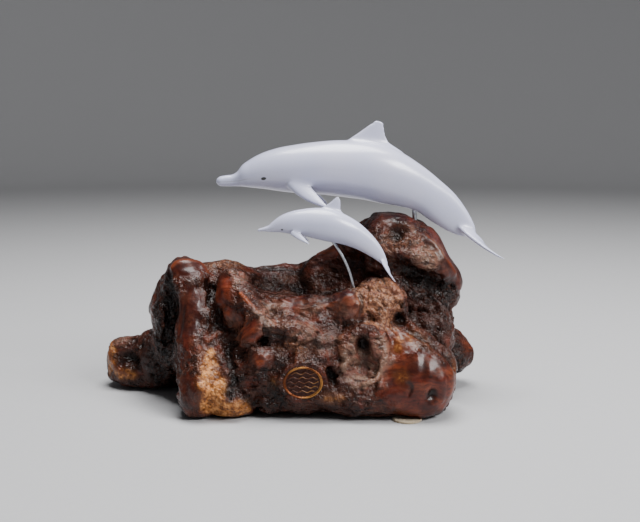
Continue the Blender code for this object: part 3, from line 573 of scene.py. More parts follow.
LIGHTS = {
    "key": ((0.80, -0.64, 0.92), (0.50, 0.40)),
    "top": ((0.05, 0.05, 1.15), (0.75, 0.60)),
    "fill": ((1.05, -0.40, 0.60), (0.26, 0.26)),
}
LIT_POINT = (0.0, 0.0, 0.07)
SKY_COLOUR = (0.86, 0.88, 0.92, 1)
CAMERA_PLACE = (0.0077, -0.550, 0.160)
CAMERA_DOWN = 8.2
CAMERA_SENSOR, CAMERA_LENS = 36.0, 54.28


# The grid's place in the frame


def grid_place():
    """The size of a grid step in metres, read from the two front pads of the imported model, and the place
    of the grid's origin, read from the back pad."""
    middles = {}
    for word in PAD_PLACES:
        low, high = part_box(f"pad_{word}")
        middles[word] = (np.array(low[:2]) + np.array(high[:2])) / 2
    apart = np.array(PAD_PLACES["front_right"]) - np.array(PAD_PLACES["front_left"])
    step = np.linalg.norm(middles["front_right"] - middles["front_left"]) / np.linalg.norm(apart)
    origin = middles["back"] - np.array(PAD_PLACES["back"]) * step
    return step, np.array([origin[0], origin[1], 0.0])


STEP, ORIGIN = grid_place()


# Noise as whole arrays


def mixed_bits(value):
    """Numbers from 0 to 1 from whole ones, which are shifted, multiplied and cut to 16 bits."""
    value = value ^ (value >> np.uint32(13))
    value = value * np.uint32(MIXERS[0])
    value = value ^ (value >> np.uint32(16))
    value = value * np.uint32(MIXERS[1])
    return (value >> np.uint32(16)).astype(np.float32) / np.float32(65535)


def noise(points, size, seed, stretch=(1.0, 1.0, 1.0)):
    """Smooth bumps from -1 to 1 that are about size steps apart: a repeatable number for each corner of a
    lattice, eased between them with a fifth-power curve."""
    at = (points / (size * np.array(stretch)) + seed * SEED_SHIFT).astype(np.float32)
    cell = np.floor(at)
    share = at - cell
    share = (share**3 * (share * (share * 6 - 15) + 10)).T
    cell = cell.astype(np.int32).astype(np.uint32).T
    ends = [
        [(cell[axis] + np.uint32(shift)) * np.uint32(prime) for shift in (0, 1)]
        for axis, prime in enumerate(AXIS_PRIMES)
    ]
    sown = np.uint32(seed * SEED_PRIME + 17)
    layers = []
    for high in ends[2]:
        lines = []
        for wide in ends[1]:
            left, right = (mixed_bits(high ^ wide ^ sown ^ end) for end in ends[0])
            lines.append(left + share[0] * (right - left))
        layers.append(lines[0] + share[1] * (lines[1] - lines[0]))
    return 2.0 * (layers[0] + share[2] * (layers[1] - layers[0])) - 1.0


def noise_shift(points, layers, seed):
    """Three numbers for each point, one along each axis: layers of noise, each with its strength and
    size."""
    shift = np.zeros((len(points), 3), np.float32)
    for axis in range(3):
        for layer, (strength, size) in enumerate(layers):
            shift[:, axis] += strength * noise(points, size, seed + axis + 3 * layer)
    return shift


def mix(first, second, share):
    """First where the share is 0 and second where it is 1."""
    return first + share * (second - first)


def layered(points, size, seed, layers):
    """Noise with finer and weaker noise on top: each layer is half as large and half as strong."""
    total = np.zeros(len(points))
    for layer in range(layers):
        turned = points if layer % 2 == 0 else points[:, [1, 2, 0]]
        total += noise(turned, size / 2**layer, seed + layer) / 2**layer
    return total


def cracks(points, size, seed, width, stretch=(1.0, 1.0, 1.0)):
    """Winding lines, 1 in the middle and 0 away from them: where smooth noise passes through zero."""
    return np.clip(1 - np.abs(noise(points, size, seed, stretch)) / width, 0, 1) ** 1.5


def smooth_step(value):
    """0 below 0, 1 above 1 and an even curve between."""
    value = np.clip(value, 0, 1)
    return value * value * (3 - 2 * value)


# The burl's form


def soft_cut(field, cut, edge):
    """The larger of two distances, rounded where they are equal: an edge times the logarithm of the sum
    of the exponentials of both over the edge. It takes a cut out of a form that is negative inside."""
    return edge * np.logaddexp(field / edge, cut / edge)


def lobe_distance(points, centre, halves, lean):
    """Roughly how far each point is from an ellipsoid, in grid steps: negative inside."""
    turn = math.radians(lean)
    x, y, z = (points - np.array(centre, float)).T
    along = x * math.cos(turn) - z * math.sin(turn)
    up = x * math.sin(turn) + z * math.cos(turn)
    a, b, c = halves
    near = np.sqrt((along / a) ** 2 + (y / b) ** 2 + (up / c) ** 2) + TINY
    steep = np.sqrt((along / a**2) ** 2 + (y / b**2) ** 2 + (up / c**2) ** 2) + TINY
    return near * (near - 1) / steep


def root_distance(points, start, end, start_radius, end_radius):
    """How far each point is from a round root that tapers from one radius to the other."""
    start = np.array(start, float)
    run = np.array(end, float) - start
    share = np.clip((points - start) @ run / (run @ run), 0, 1)
    nearest = start + share[:, None] * run
    return np.linalg.norm(points - nearest, axis=1) - (start_radius + share * (end_radius - start_radius))


def burl_field(points):
    """The smooth burl as one distance, negative in the wood: lobes and roots grown together by the
    logarithm of their summed exponentials, with gentle swells, and hollows and channels cut out the same
    way."""
    grown = np.zeros(len(points))
    for centre, halves, lean in LOBES:
        grown += np.exp(-np.clip(lobe_distance(points, centre, halves, lean), *FIELD_RANGE) / CREASE)
    for start, end, start_radius, end_radius in ROOTS:
        near = root_distance(points, start, end, start_radius, end_radius)
        grown += np.exp(-np.clip(near, *FIELD_RANGE) / CREASE)
    wood = -CREASE * np.log(grown)
    for strength, (wave_x, wave_y, wave_z) in SWELLS:
        x, y, z = points.T
        swell_x = np.sin(2 * math.pi * (x / wave_x + y / (2.3 * wave_y)) + 1.0)
        swell_y = np.sin(2 * math.pi * (y / wave_y - z / (2.1 * wave_z)) + 2.0)
        swell_z = np.sin(2 * math.pi * (z / wave_z + x / (2.7 * wave_x)))
        wood += strength * (swell_x + swell_y + swell_z) / 2
    for centre, halves, lean in HOLLOWS:
        wood = soft_cut(wood, -lobe_distance(points, centre, halves, lean), HOLLOW_EDGE)
    for start, end, start_radius, end_radius in CHANNELS:
        wood = soft_cut(wood, -root_distance(points, start, end, start_radius, end_radius), HOLLOW_EDGE)
    return wood


def zone(points, lobes, edge):
    """How much each point belongs to a zone, from 0 to 1: the strongest of its lobes, faded over a soft
    edge."""
    strongest = np.zeros(len(points))
    for centre, halves, lean, strength in lobes:
        inside = smooth_step(0.5 - lobe_distance(points, centre, halves, lean) / edge)
        strongest = np.maximum(strongest, strength * inside)
    return strongest


def zones_of(points):
    """The zones of the wood at each point, among them painted shade on some polished lobes and in the char
    zones, and a painted highlight along the crest. Noise moves the points first, so that the zones have
    ragged edges."""
    shake = noise_shift(points, RAGGED, 11)
    tables = {"polished": POLISHED, "deep": PAINTED_SHADE, "barky": BARKY, "pale": PALE_AND_HIGHLIGHT, "charred": CHAR_AND_SHADE}
    zones = {word: zone(points + ZONE_SHAKE * shake, lobes, ZONE_EDGE) for word, lobes in tables.items()}
    zones["golden"] = zone(points + GOLDEN_SHAKE * shake, GOLDEN, GOLDEN_EDGE)
    return zones


def upright_share(points):
    """1 on the left of the burl, where the grain runs up, and 0 where it runs along."""
    left, right = UPRIGHT
    return smooth_step((right - points[:, 0]) / 12) * smooth_step((points[:, 0] - left) / 10)


def grown_points(points):
    """Points shifted a little, as if the wood had grown unevenly: three sizes of noise along each axis,
    weaker in the polished zones and none of it near the seal or the wires."""
    calm = 1 - POLISHED_CALM * zone(points, POLISHED, POLISHED_EDGE)
    for middle in (seal_place(), wire_foot(MOTHER_STAND), wire_foot(CALF_STAND)):
        away = np.linalg.norm(points - middle, axis=1)
        calm = np.minimum(calm, smooth_step((away - CALM_RADIUS) / CALM_FADE))
    return points + calm[:, None] * noise_shift(points, GROWTH, 101)


def fold_height(points):
    """How far the folds raise the skin, and how far they cut into it: a round profile round each line."""
    raised, cut = np.zeros(len(points)), np.zeros(len(points))
    for height, half, line in FOLDS:
        line = np.array(line, float)
        near = np.flatnonzero(np.all((points > line.min(0) - half) & (points < line.max(0) + half), axis=1))
        profile = np.zeros(len(near))
        for start, end in zip(line[:-1], line[1:]):
            away = root_distance(points[near], start, end, 0, 0) / half
            profile = np.maximum(profile, (1 - np.clip(away, 0, 1) ** 2) ** 2)
        if height > 0:
            raised[near] = np.maximum(raised[near], height * profile)
        else:
            cut[near] = np.maximum(cut[near], -height * profile)
    return raised, cut


def relief(points, depth):
    """How far the weathered surface lies under the smooth one, in steps: folds, winding creases along the
    grain, pits and fibres where the wood is rough, beads in the sapwood, cracked bark, crumbled char, and
    hardly anything where it is polished."""
    zones = zones_of(points)
    polished, golden, barky, charred = (zones[word] for word in ("polished", "golden", "barky", "charred"))
    drift = noise_shift(points, DRIFT, 21)
    flowing = points + DRIFT_REACH * drift
    upright = upright_share(points)
    lying = cracks(flowing, size=5.5, seed=41, width=0.24, stretch=GRAIN_ALONG)
    standing = cracks(flowing, size=5.5, seed=42, width=0.24, stretch=GRAIN_UP)
    creases = mix(lying, standing, upright)
    lying = noise(flowing, size=2.5, seed=51, stretch=GRAIN_ALONG)
    standing = noise(flowing, size=2.5, seed=52, stretch=GRAIN_UP)
    streaks = mix(lying, standing, upright)
    swell = 0.9 * layered(flowing, size=12, seed=31, layers=2)
    pits = 2.3 * np.clip(noise(points, size=4.4, seed=61) - PIT_LEVEL, 0, 1)
    beads = 0.7 * golden * np.abs(noise(points, size=3.2, seed=62))
    bark = 1.2 * cracks(flowing, size=5.0, seed=71, width=0.25)
    bark = bark + 0.8 * np.abs(noise(points, size=3.4, seed=72)) + 0.35 * noise(points, size=2.3, seed=73)
    char = 0.9 * np.abs(noise(flowing, size=5.0, seed=81))
    char = char + 0.8 * np.clip(noise(points, size=2.8, seed=82), 0, 1) - 0.3
    raised, cut = fold_height(points + FOLD_DRIFT * drift)
    rough = 1.0 - POLISHED_QUIET * polished
    total = rough * (swell + creases + 0.38 * streaks + pits) + beads
    total += barky * bark + charred * char + 0.25 * polished * swell
    return depth * (total + cut - raised - MEAN_RELIEF)


def last_wood(start, direction, reach):
    """The last point of the smooth wood along a ray from inside it, in grid steps."""
    along = np.arange(0, reach, RAY_STEP)
    inside = burl_field(start + along[:, None] * direction) < 0
    return start + along[np.flatnonzero(inside)[-1]] * direction


def wire_foot(stand):
    """Where a wire leaves the smooth wood, in grid steps."""
    start = np.array([stand[0], stand[1], WIRE_START])
    return last_wood(start, np.array([0.0, 0.0, 1.0]), RAY_REACH)


def seal_place():
    """Where the wood's front is at the middle of the seal, in grid steps."""
    start = np.array([SEAL_PLACE[0], 0.0, SEAL_PLACE[1]])
    return last_wood(start, np.array([0.0, -1.0, 0.0]), RAY_REACH)


def seal_frame(points):
    """Points in the seal's own frame: across, out from the wood and up, in grid steps from its face."""
    turn = math.radians(SEAL_TILT)
    x, y, z = (points - seal_place()).T
    out = -y * math.cos(turn) + z * math.sin(turn)
    up = z * math.cos(turn) + y * math.sin(turn)
    return x, out, up


def seal_reach(x, up, half_x, half_up):
    """Roughly how far points are from an oval round the seal's middle: negative inside it."""
    return (np.sqrt((x / half_x) ** 2 + (up / half_up) ** 2) - 1) * half_up


def dressed_field(points, depth):
    """The weathered burl: the smooth one under its relief near the surface and smooth again round the
    wires, with a bed under the seal, the wood cleared in front of it, a pocket for its back and the
    underside sawn flat."""
    field = burl_field(grown_points(points))
    near = np.abs(field) < WEATHERED
    quiet = np.ones(near.sum())
    for stand in (MOTHER_STAND, CALF_STAND):
        away = np.linalg.norm(points[near] - wire_foot(stand), axis=1)
        quiet = np.minimum(quiet, smooth_step((away - QUIET_RADIUS) / QUIET_FADE))
    field[near] += quiet * relief(points[near], depth)
    x, out, up = seal_frame(points)
    bed = np.maximum(seal_reach(x, up, *BED_HALVES), out + BED_LEVEL)
    field = -soft_cut(-field, -bed, BED_EDGE)
    above = out + CLEAR_LEVEL - CLEAR_SLOPE * np.maximum(seal_reach(x, up, *CLEAR_HALVES), 0)
    field = soft_cut(field, above, CLEAR_EDGE)
    pocket = np.maximum(seal_reach(x, up, *POCKET_HALVES), -out - POCKET_DEPTH)
    field = np.maximum(field, -pocket)
    return np.maximum(field, SAWN_LEVEL - points[:, 2])


def spread(values, times):
    """A coarse grid of values read on a grid that many times as fine, along straight lines."""
    for axis in range(3):
        count = values.shape[axis]
        fine = np.arange((count - 1) * times + 1) / times
        left = np.minimum(fine.astype(int), count - 2)
        share = (fine - left).reshape([-1 if i == axis else 1 for i in range(3)])
        values = np.take(values, left, axis) * (1 - share) + np.take(values, left + 1, axis) * share
    return values


def surface_net(values, low, cell):
    """Points and four-sided faces round the region of a grid where the values are negative: one point for
    each cell that the surface crosses, at the mean of its crossings, and a face across each crossed
    edge."""
    inside = values < 0
    cells = np.array(values.shape) - 1
    sums = np.zeros((cells.prod(), 3))
    counts = np.zeros(cells.prod())
    quads = []
    for axis in range(3):
        near = [slice(None)] * 3
        far = [slice(None)] * 3
        near[axis], far[axis] = slice(None, -1), slice(1, None)
        here, there = values[tuple(near)], values[tuple(far)]
        at = np.argwhere((here < 0) != (there < 0))
        first, second = here[tuple(at.T)], there[tuple(at.T)]
        crossing = at.astype(float)
        crossing[:, axis] += first / (first - second)
        one, two = (axis + 1) % 3, (axis + 2) % 3
        ring = []
        for back_one, back_two in ((0, 0), (1, 0), (1, 1), (0, 1)):
            cell_at = at.copy()
            cell_at[:, one] -= back_one
            cell_at[:, two] -= back_two
            number = np.ravel_multi_index(cell_at.T, cells)
            ring.append(number)
            counts += np.bincount(number, minlength=len(counts))
            for part in range(3):
                sums[:, part] += np.bincount(number, crossing[:, part], minlength=len(counts))
        ring = np.stack(ring, 1)
        flip = inside[tuple(near)][tuple(at.T)]
        quads.append(np.where(flip[:, None], ring, ring[:, ::-1]))
    used = np.flatnonzero(counts)
    rank = np.zeros(len(counts), int)
    rank[used] = np.arange(len(used))
    points = low + cell * sums[used] / counts[used, None]
    return points, rank[np.concatenate(quads)]


def main_body(points, faces):
    """A mesh's largest connected part: every point takes the lowest number that its faces share with it,
    until nothing changes, and the number that most points end with is kept."""
    label = np.arange(len(points))
    while True:
        lowest = np.repeat(label[faces].min(axis=1), faces.shape[1])
        shared = label.copy()
        np.minimum.at(shared, faces.ravel(), lowest)
        shared = shared[shared]
        if np.array_equal(shared, label):
            break
        label = shared
    kept = label == np.argmax(np.bincount(label))
    number = np.cumsum(kept) - 1
    return points[kept], number[faces[kept[faces[:, 0]]]]


def burl_surface(cell, depth):
    """The weathered burl's points and faces. A coarse grid finds where the surface can be, and only the
    fine grid's points near it are worked out. The points then slide along their normals onto the surface,
    twice."""
    low, high = (np.array(corner) for corner in BURL_REGION)
    coarse = cell * COARSENESS
    count = np.ceil((high - low) / coarse).astype(int) + 1
    lines = (low[axis] + coarse * np.arange(count[axis]) for axis in range(3))
    places = np.stack(np.meshgrid(*lines, indexing="ij"), -1)
    values = spread(burl_field(places.reshape(-1, 3)).reshape(count), COARSENESS)
    near = np.argwhere(np.abs(values) < NEAR_SURFACE)
    values[tuple(near.T)] = dressed_field(low + cell * near, depth)
    far_below = (low[2] + cell * np.arange(values.shape[2])) < SAWN_LEVEL - 1
    values[:, :, far_below] = np.maximum(values[:, :, far_below], 1.0)
    for axis in range(3):
        ends = [slice(None)] * 3
        ends[axis] = [0, -1]
        values[tuple(ends)] = 1.0
    points, faces = main_body(*surface_net(values, low, cell))
    normals = vertex_normals(points, faces)
    here, ahead = dressed_field(points, depth), dressed_field(points + PROBE * normals, depth)
    slope = np.clip((ahead - here) / PROBE, 0.5, 2.5)
    most = 0.35 * cell
    for _ in range(2):
        points = points - np.clip(here / slope, -most, most)[:, None] * normals
        here = dressed_field(points, depth)
    return points, faces


def burl_marks(points):
    """What the burl's material reads at each point: its zones, how hollow the smooth wood is there, from
    the mean of its field all round, how deep the point is sunk, its folds, and where the grain runs
    up."""
    marks = zones_of(points)
    grown = grown_points(points)
    level = burl_field(grown)
    shifts = [HOLLOW_PROBE * np.eye(3)[axis] * sign for axis in range(3) for sign in (-1, 1)]
    around = sum(burl_field(grown + shift) for shift in shifts)
    # The hollow, sunk and cut marks drive painted shade in the colour, and the raised mark a painted
    # highlight.
    marks["hollow"] = (around - 6 * level) / HOLLOW_PROBE**2 / HOLLOW_SCALE
    marks["sunk"] = -level
    marks["raised"], marks["cut"] = fold_height(points)
    marks["upright"] = upright_share(points)
    return marks


def held_in(points, box, edge):
    """Points drawn in so that they stay inside a box, apart from its floor. Past the edge's width from a
    side, what is left to the side is the edge times the exponential of minus how far past the point
    was."""
    low, high = (np.array(corner) for corner in box)
    over = points - (high - edge)
    points = np.where(over > 0, high - edge * np.exp(-np.maximum(over, 0) / edge), points)
    over = (low + edge) - points
    sides = np.array([True, True, False])
    return np.where((over > 0) & sides, low + edge * np.exp(-np.maximum(over, 0) / edge), points)


# Meshes


def mesh_object(name, points, faces, marks=None, turn_out=True):
    """A mesh object from whole arrays: faces are an array of equal-sided ones or a list of any. marks are
    named numbers, or threes of numbers, for each vertex, and turn_out turns the faces of a closed shell
    outwards."""
    points = np.ascontiguousarray(points, dtype=np.float32)
    mesh = bpy.data.meshes.new(name)
    if isinstance(faces, np.ndarray):
        mesh.vertices.add(len(points))
        mesh.vertices.foreach_set("co", points.ravel())
        mesh.loops.add(faces.size)
        mesh.polygons.add(len(faces))
        mesh.polygons.foreach_set("loop_start", np.arange(len(faces), dtype=np.int32) * faces.shape[1])
        mesh.loops.foreach_set("vertex_index", faces.astype(np.int32).ravel())
        mesh.update(calc_edges=True)
        mesh.validate()
    else:
        mesh.from_pydata(points.tolist(), [], faces)
    if turn_out:
        work = bmesh.new()
        work.from_mesh(mesh)
        bmesh.ops.recalc_face_normals(work, faces=work.faces)
        work.to_mesh(mesh)
        work.free()
    for word, values in (marks or {}).items():
        kind, key = ("FLOAT", "value") if values.ndim == 1 else ("FLOAT_VECTOR", "vector")
        mark = mesh.attributes.new(word, kind, "POINT")
        mark.data.foreach_set(key, values.astype(np.float32).ravel())
    mesh.shade_smooth()
    item = bpy.data.objects.new(name, mesh)
    bpy.context.scene.collection.objects.link(item)
    return item


def round_turn(sides):
    """Even angles once round."""
    return np.linspace(0, 2 * math.pi, sides, endpoint=False)


def ring_quads(rings, sides):
    """Four-sided faces of rings of points, one ring after another, closed round each ring."""
    ring, side = np.meshgrid(np.arange(rings - 1), np.arange(sides), indexing="ij")
    here, after = ring * sides, (ring + 1) * sides
    beside = (side + 1) % sides
    return np.stack([here + side, here + beside, after + beside, after + side], -1).reshape(-1, 4)


def tube_faces(rings, sides):
    """Faces of a closed tube: its rings' four-sided faces and one flat face over each end."""
    faces = ring_quads(rings, sides).tolist()
    faces.append(list(range(sides))[::-1])
    faces.append([(rings - 1) * sides + i for i in range(sides)])
    return faces


def finish_piece(item, node, material):
    """Gives a piece its material and its place in the figurine."""
    item.data.materials.append(material)
    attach(item, "root")
    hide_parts(node)


# The dolphins


def spline(table, at):
    """Reads the columns of a table along its first column, as smooth curves through every row."""
    table = np.asarray(table, float)
    stations, values = table[:, 0], table[:, 1:]
    slopes = np.gradient(values, stations, axis=0)
    at = np.clip(np.atleast_1d(at), stations[0], stations[-1])
    left = np.clip(np.searchsorted(stations, at, side="right") - 1, 0, len(stations) - 2)
    span = (stations[left + 1] - stations[left])[:, None]
    t = (at - stations[left])[:, None] / span
    start = values[left] * (1 + 2 * t) * (1 - t) ** 2 + slopes[left] * span * t * (1 - t) ** 2
    end = values[left + 1] * t**2 * (3 - 2 * t) + slopes[left + 1] * span * t**2 * (t - 1)
    return start + end


def axis_of(bend, length, at):
    """Points of the axis, in metres from the beak, and its pitch in radians, at the given stations."""
    fine = np.linspace(0, 1, AXIS_STEPS + 1)
    pitch = np.radians(spline(bend, fine)[:, 0])
    step = length / AXIS_STEPS
    x = np.concatenate([[0], np.cumsum((np.cos(pitch[1:]) + np.cos(pitch[:-1])) / 2 * step)])
    z = np.concatenate([[0], np.cumsum((np.sin(pitch[1:]) + np.sin(pitch[:-1])) / 2 * step)])
    at = np.atleast_1d(at)
    return np.interp(at, fine, x), np.interp(at, fine, z), np.interp(at, fine, pitch)


def frame_at(shape, station, pitch=None):
    """A dolphin's own frame at a station: X along the axis, Y across and Z up."""
    x, z, own = axis_of(shape["bend"], shape["length"], station)
    angle = own[0] if pitch is None else math.radians(pitch)
    return Matrix.Translation((x[0], 0, z[0])) @ Matrix.Rotation(-angle, 4, "Y")


def moved_by(matrix, points):
    """Points moved by a matrix, as whole arrays."""
    turn = np.array(matrix.to_3x3())
    return points @ turn.T + np.array(matrix.translation)


def body_grid(shape, rings, sides):
    """The body: rings square to a bent axis, each half an ellipse above and half another below, closed by
    round ends. The rings are closer together towards both ends, as the cosines of even angles are."""
    at = 0.5 - 0.5 * np.cos(np.linspace(0.02, math.pi - 0.02, rings))
    x, z, pitch = axis_of(shape["bend"], shape["length"], at)
    up, down, half = spline(shape["stations"], at).T * shape["length"]
    front = np.clip(at / BEAK_ROUNDING, 0, 1)
    back = np.clip((1 - at) / TAIL_ROUNDING, 0, 1)
    close = np.sqrt(1 - (1 - front) ** 2) * np.sqrt(1 - (1 - back) ** 2)
    high, wide = np.cos(round_turn(sides))[None, :], np.sin(round_turn(sides))[None, :]
    rise = high * np.where(high > 0, up[:, None], down[:, None]) * close[:, None]
    out = wide * (half * close)[:, None]
    along = x[:, None] - np.sin(pitch)[:, None] * rise
    over = z[:, None] + np.cos(pitch)[:, None] * rise
    return np.stack([along, out, over], 2).reshape(-1, 3)


def blade_grid(table, length, place, tip):
    """A fin from root to tip: rings that are a thin wing section, blunt in front and fine behind, which
    shrink to a round tip. It reaches a little further than its table, as the rebuilt skin loses that
    much."""
    table = np.asarray(table, float)
    reach, round_from = tip
    end = table[-1, 0] + 0.7 * table[-1, 3] + reach
    at = np.linspace(table[0, 0], end, FIN_RINGS)
    front, back, thick, rise = spline(table, at).T
    turn = round_turn(FIN_SIDES)
    chord = (1 - np.cos(turn)) / 2
    bulge = np.sin(turn) * (1.25 - 0.65 * chord)
    share = np.clip((np.linspace(0, 1, FIN_RINGS) - round_from) / (1 - round_from), 0, 0.99)
    shrink = np.sqrt(1 - share**2)
    middle = (front + back) / 2
    along = middle[:, None] + (back - front)[:, None] * shrink[:, None] * (chord - 0.5)[None, :]
    high = rise[:, None] + (thick * shrink)[:, None] / 2 * bulge[None, :]
    out = np.broadcast_to(at[:, None], along.shape)
    return moved_by(place, np.stack([along, high, out], 2).reshape(-1, 3) * length)


def neighbour_means(points, edges):
    """The mean of each point's neighbours along the edges."""
    count = np.bincount(edges.ravel(), minlength=len(points))[:, None]
    total = np.zeros_like(points)
    for first, second in (edges.T, edges.T[::-1]):
        for axis in range(3):
            total[:, axis] += np.bincount(first, points[second, axis], len(points))
    return total / np.maximum(count, 1)


def vertex_normals(points, quads):
    """Unit normals from the cross products of each face's diagonals, summed at its corners."""
    a, b, c, d = (points[quads[:, i]] for i in range(4))
    cross = np.cross(c - a, d - b)
    total = np.zeros_like(points)
    for corner in quads.T:
        for axis in range(3):
            total[:, axis] += np.bincount(corner, cross[:, axis], len(points))
    return total / np.maximum(np.linalg.norm(total, axis=1), TINY_LENGTH)[:, None]


def dolphin_move(shape, touch):
    """Moves a dolphin from its own frame so that its belly touches a point."""
    depth = spline(shape["stations"], shape["belly"])[0, 1] * shape["length"]
    belly_point = frame_at(shape, shape["belly"]) @ Vector((0, 0, -depth))
    lean = Matrix.Rotation(-math.radians(shape["roll"]), 4, "X")
    return Matrix.Translation(touch - lean @ belly_point) @ lean


def dolphin_marks(shape, move, points):
    """Where the eyes and the mouth are. The eye mark is the place from the eye's middle in half sizes of
    the eye, and the lip_mark is the height over the lips in millimetres and the share along them; the
    material paints shade along the mouth's crease with it."""
    length = shape["length"]
    station, height, half_along, half_up = shape["eye"]
    own = moved_by((move @ frame_at(shape, station)).inverted(), points) / length
    eye = np.stack([own[:, 0] / half_along, (own[:, 2] - height) / half_up, own[:, 1] * 0], 1)
    lips = np.array(shape["mouth"])
    x, z, pitch = axis_of(shape["bend"], length, lips[:, 0])
    line_x = x - np.sin(pitch) * lips[:, 1] * length
    line_z = z + np.cos(pitch) * lips[:, 1] * length
    flat = moved_by(move.inverted(), points)
    over = flat[:, 2] - np.interp(flat[:, 0], line_x, line_z)
    along = (flat[:, 0] - line_x[0]) / (line_x[-1] - line_x[0])
    return {"eye_mark": eye, "lip_mark": np.stack([over * 1000, along, along * 0], 1)}


def dolphin_parts(shape):
    """A dolphin's body and fins as closed tubes, each with its rings and points a ring, and the creases
    between them, each as a middle and a reach."""
    length = shape["length"]
    tail = frame_at(shape, 1.0, shape["fluke pitch"])
    fore = frame_at(shape, shape["flipper station"])
    stand = frame_at(shape, shape["dorsal station"])
    lay = Matrix(((1, 0, 0, 0), (0, 0, 1, 0), (0, 1, 0, 0), (0, 0, 0, 1)))
    root = Matrix.Translation((0, FLIPPER_OUT * length, FLIPPER_LOW * length))
    back_turn, down_turn = (math.radians(angle) for angle in FLIPPER_TURN)
    swing = Matrix.Rotation(-down_turn, 4, "X") @ Matrix.Rotation(-back_turn, 4, "Z")
    parts = [(body_grid(shape, BODY_RINGS, BODY_SIDES), BODY_RINGS, BODY_SIDES)]
    blades = [blade_grid(shape["dorsal"], length, stand, DORSAL_TIP)]
    along, up, reach = DORSAL_CREASE
    creases = [(stand @ Vector((along * length, 0, up * length)), reach * length)]
    for side in (-1, 1):
        mirror = Matrix.Diagonal((1, side, 1, 1))
        blades.append(blade_grid(FLUKE, length, tail @ mirror @ lay, FIN_TIP))
        place = fore @ mirror @ root @ swing @ lay
        blades.append(blade_grid(shape["flipper"], length, place, FIN_TIP))
        shoulder = fore @ Vector((0, side * FLIPPER_OUT * length, FLIPPER_LOW * length))
        creases.append((shoulder, FLIPPER_CREASE * length))
    along, up, reach = TAIL_CREASE
    creases.append((tail.translation + Vector((along * length, 0, up * length)), reach * length))
    parts += [(blade, FIN_RINGS, FIN_SIDES) for blade in blades]
    return parts, creases


def one_skin(parts, cell):
    """Closed tubes that overlap, rebuilt as one surface: its points and its even, four-sided faces."""
    points, faces, start = [], [], 0
    for grid, rings, sides in parts:
        points.append(grid)
        faces += [[start + i for i in face] for face in tube_faces(rings, sides)]
        start += len(grid)
    item = mesh_object("shell", np.vstack(points), faces)
    modifier = item.modifiers.new("one skin", "REMESH")
    modifier.mode = "VOXEL"
    modifier.voxel_size = cell
    skin = bpy.data.meshes.new_from_object(item.evaluated_get(bpy.context.evaluated_depsgraph_get()))
    bpy.data.objects.remove(item)
    points = np.empty(len(skin.vertices) * 3)
    skin.vertices.foreach_get("co", points)
    quads = np.empty(len(skin.loops), int)
    skin.loops.foreach_get("vertex_index", quads)
    bpy.data.meshes.remove(skin)
    return main_body(points.reshape(-1, 3), quads.reshape(-1, 4))


def smoothed(points, edges, rounds):
    """Points moved towards the mean of their neighbours and then back a little further, so that steps go
    away and the size stays."""
    for _ in range(rounds):
        points = points + SMOOTH_IN * (neighbour_means(points, edges) - points)
        points = points - SMOOTH_OUT * (neighbour_means(points, edges) - points)
    return points


def filled(points, quads, edges, creases, cell):
    """Points near the creases moved towards the mean of their neighbours wherever that lies outside, so
    that a crease fills up until it is soft."""
    weight = np.zeros(len(points))
    for middle, reach in creases:
        away = np.linalg.norm(points - np.array(middle), axis=1)
        weight = np.maximum(weight, smooth_step((reach - away) / (0.4 * reach)))
    for turn in range(FILL_ROUNDS):
        if turn % 6 == 0:
            normals = vertex_normals(points, quads)
        pull = neighbour_means(points, edges) - points
        hollow = np.clip(np.sum(pull * normals, axis=1) / (0.02 * cell), 0, 1)
        points = points + (0.5 * weight * hollow)[:, None] * pull
    return points


def make_dolphin(shape, touch, cell):
    """A dolphin of one skin: its body and fins are rebuilt as one surface, its steps are smoothed away,
    and the creases at the fins' roots are filled until they are soft."""
    parts, creases = dolphin_parts(shape)
    points, quads = one_skin(parts, cell)
    borders = np.vstack([quads[:, [i, (i + 1) % 4]] for i in range(4)])
    edges = np.unique(np.sort(borders, axis=1), axis=0)
    points = smoothed(points, edges, SMOOTH_FIRST)
    points = filled(points, quads, edges, creases, cell)
    points = smoothed(points, edges, SMOOTH_LAST)
    move = dolphin_move(shape, touch)
    points = moved_by(move, points)
    return mesh_object(f"{shape['node']}_skin", points, quads, dolphin_marks(shape, move, points))


# Wires, seal, pads and floor


def wire_route(stand, wire):
    """A wire from its foot in the wood to its tip in the dolphin, in metres: straight ends, and an even
    bend between two leans towards the dolphin's head. Gives the route and the point where it meets the
    belly."""
    base = Vector(wire_foot(stand) * STEP + ORIGIN)
    leans = np.radians(np.linspace(wire["low"], wire["high"], wire["bends"] + 1))
    middle = (leans[1:] + leans[:-1]) / 2
    steps = np.stack([-np.sin(middle), np.zeros_like(middle), np.cos(middle)], 1)
    steps = steps * wire["free"] / wire["bends"]
    run = np.array(base) + np.vstack([[0, 0, 0], np.cumsum(steps, axis=0)])
    start, end = (np.array([-math.sin(lean), 0, math.cos(lean)]) for lean in leans[[0, -1]])
    route = np.vstack([run[0] - start * wire["under"], run, run[-1] + end * wire["over"]])
    return route, Vector(run[-1])


def wire_tube(name, route, radius, sides):
    """A round bar along a route in the X-Z plane: rings square to the route, with a small bevel at each
    end."""
    run = np.gradient(route, axis=0)
    run /= np.linalg.norm(run, axis=1)[:, None]
    bevel = radius * WIRE_BEVEL
    first, last = route[0] + run[0] * bevel, route[-1] - run[-1] * bevel
    route = np.vstack([route[0], first, route[1:-1], last, route[-1]])
    run = np.vstack([run[0], run[0], run[1:-1], run[-1], run[-1]])
    sizes = np.full(len(route), radius)
    sizes[[0, -1]] = radius * WIRE_END
    across = np.array([0.0, 1.0, 0.0])
    other = np.cross(run, across)
    turn = round_turn(sides)[None, :, None]
    ring = np.cos(turn) * across + np.sin(turn) * other[:, None, :]
    points = (route[:, None, :] + sizes[:, None, None] * ring).reshape(-1, 3)
    return mesh_object(name, points, tube_faces(len(route), sides))


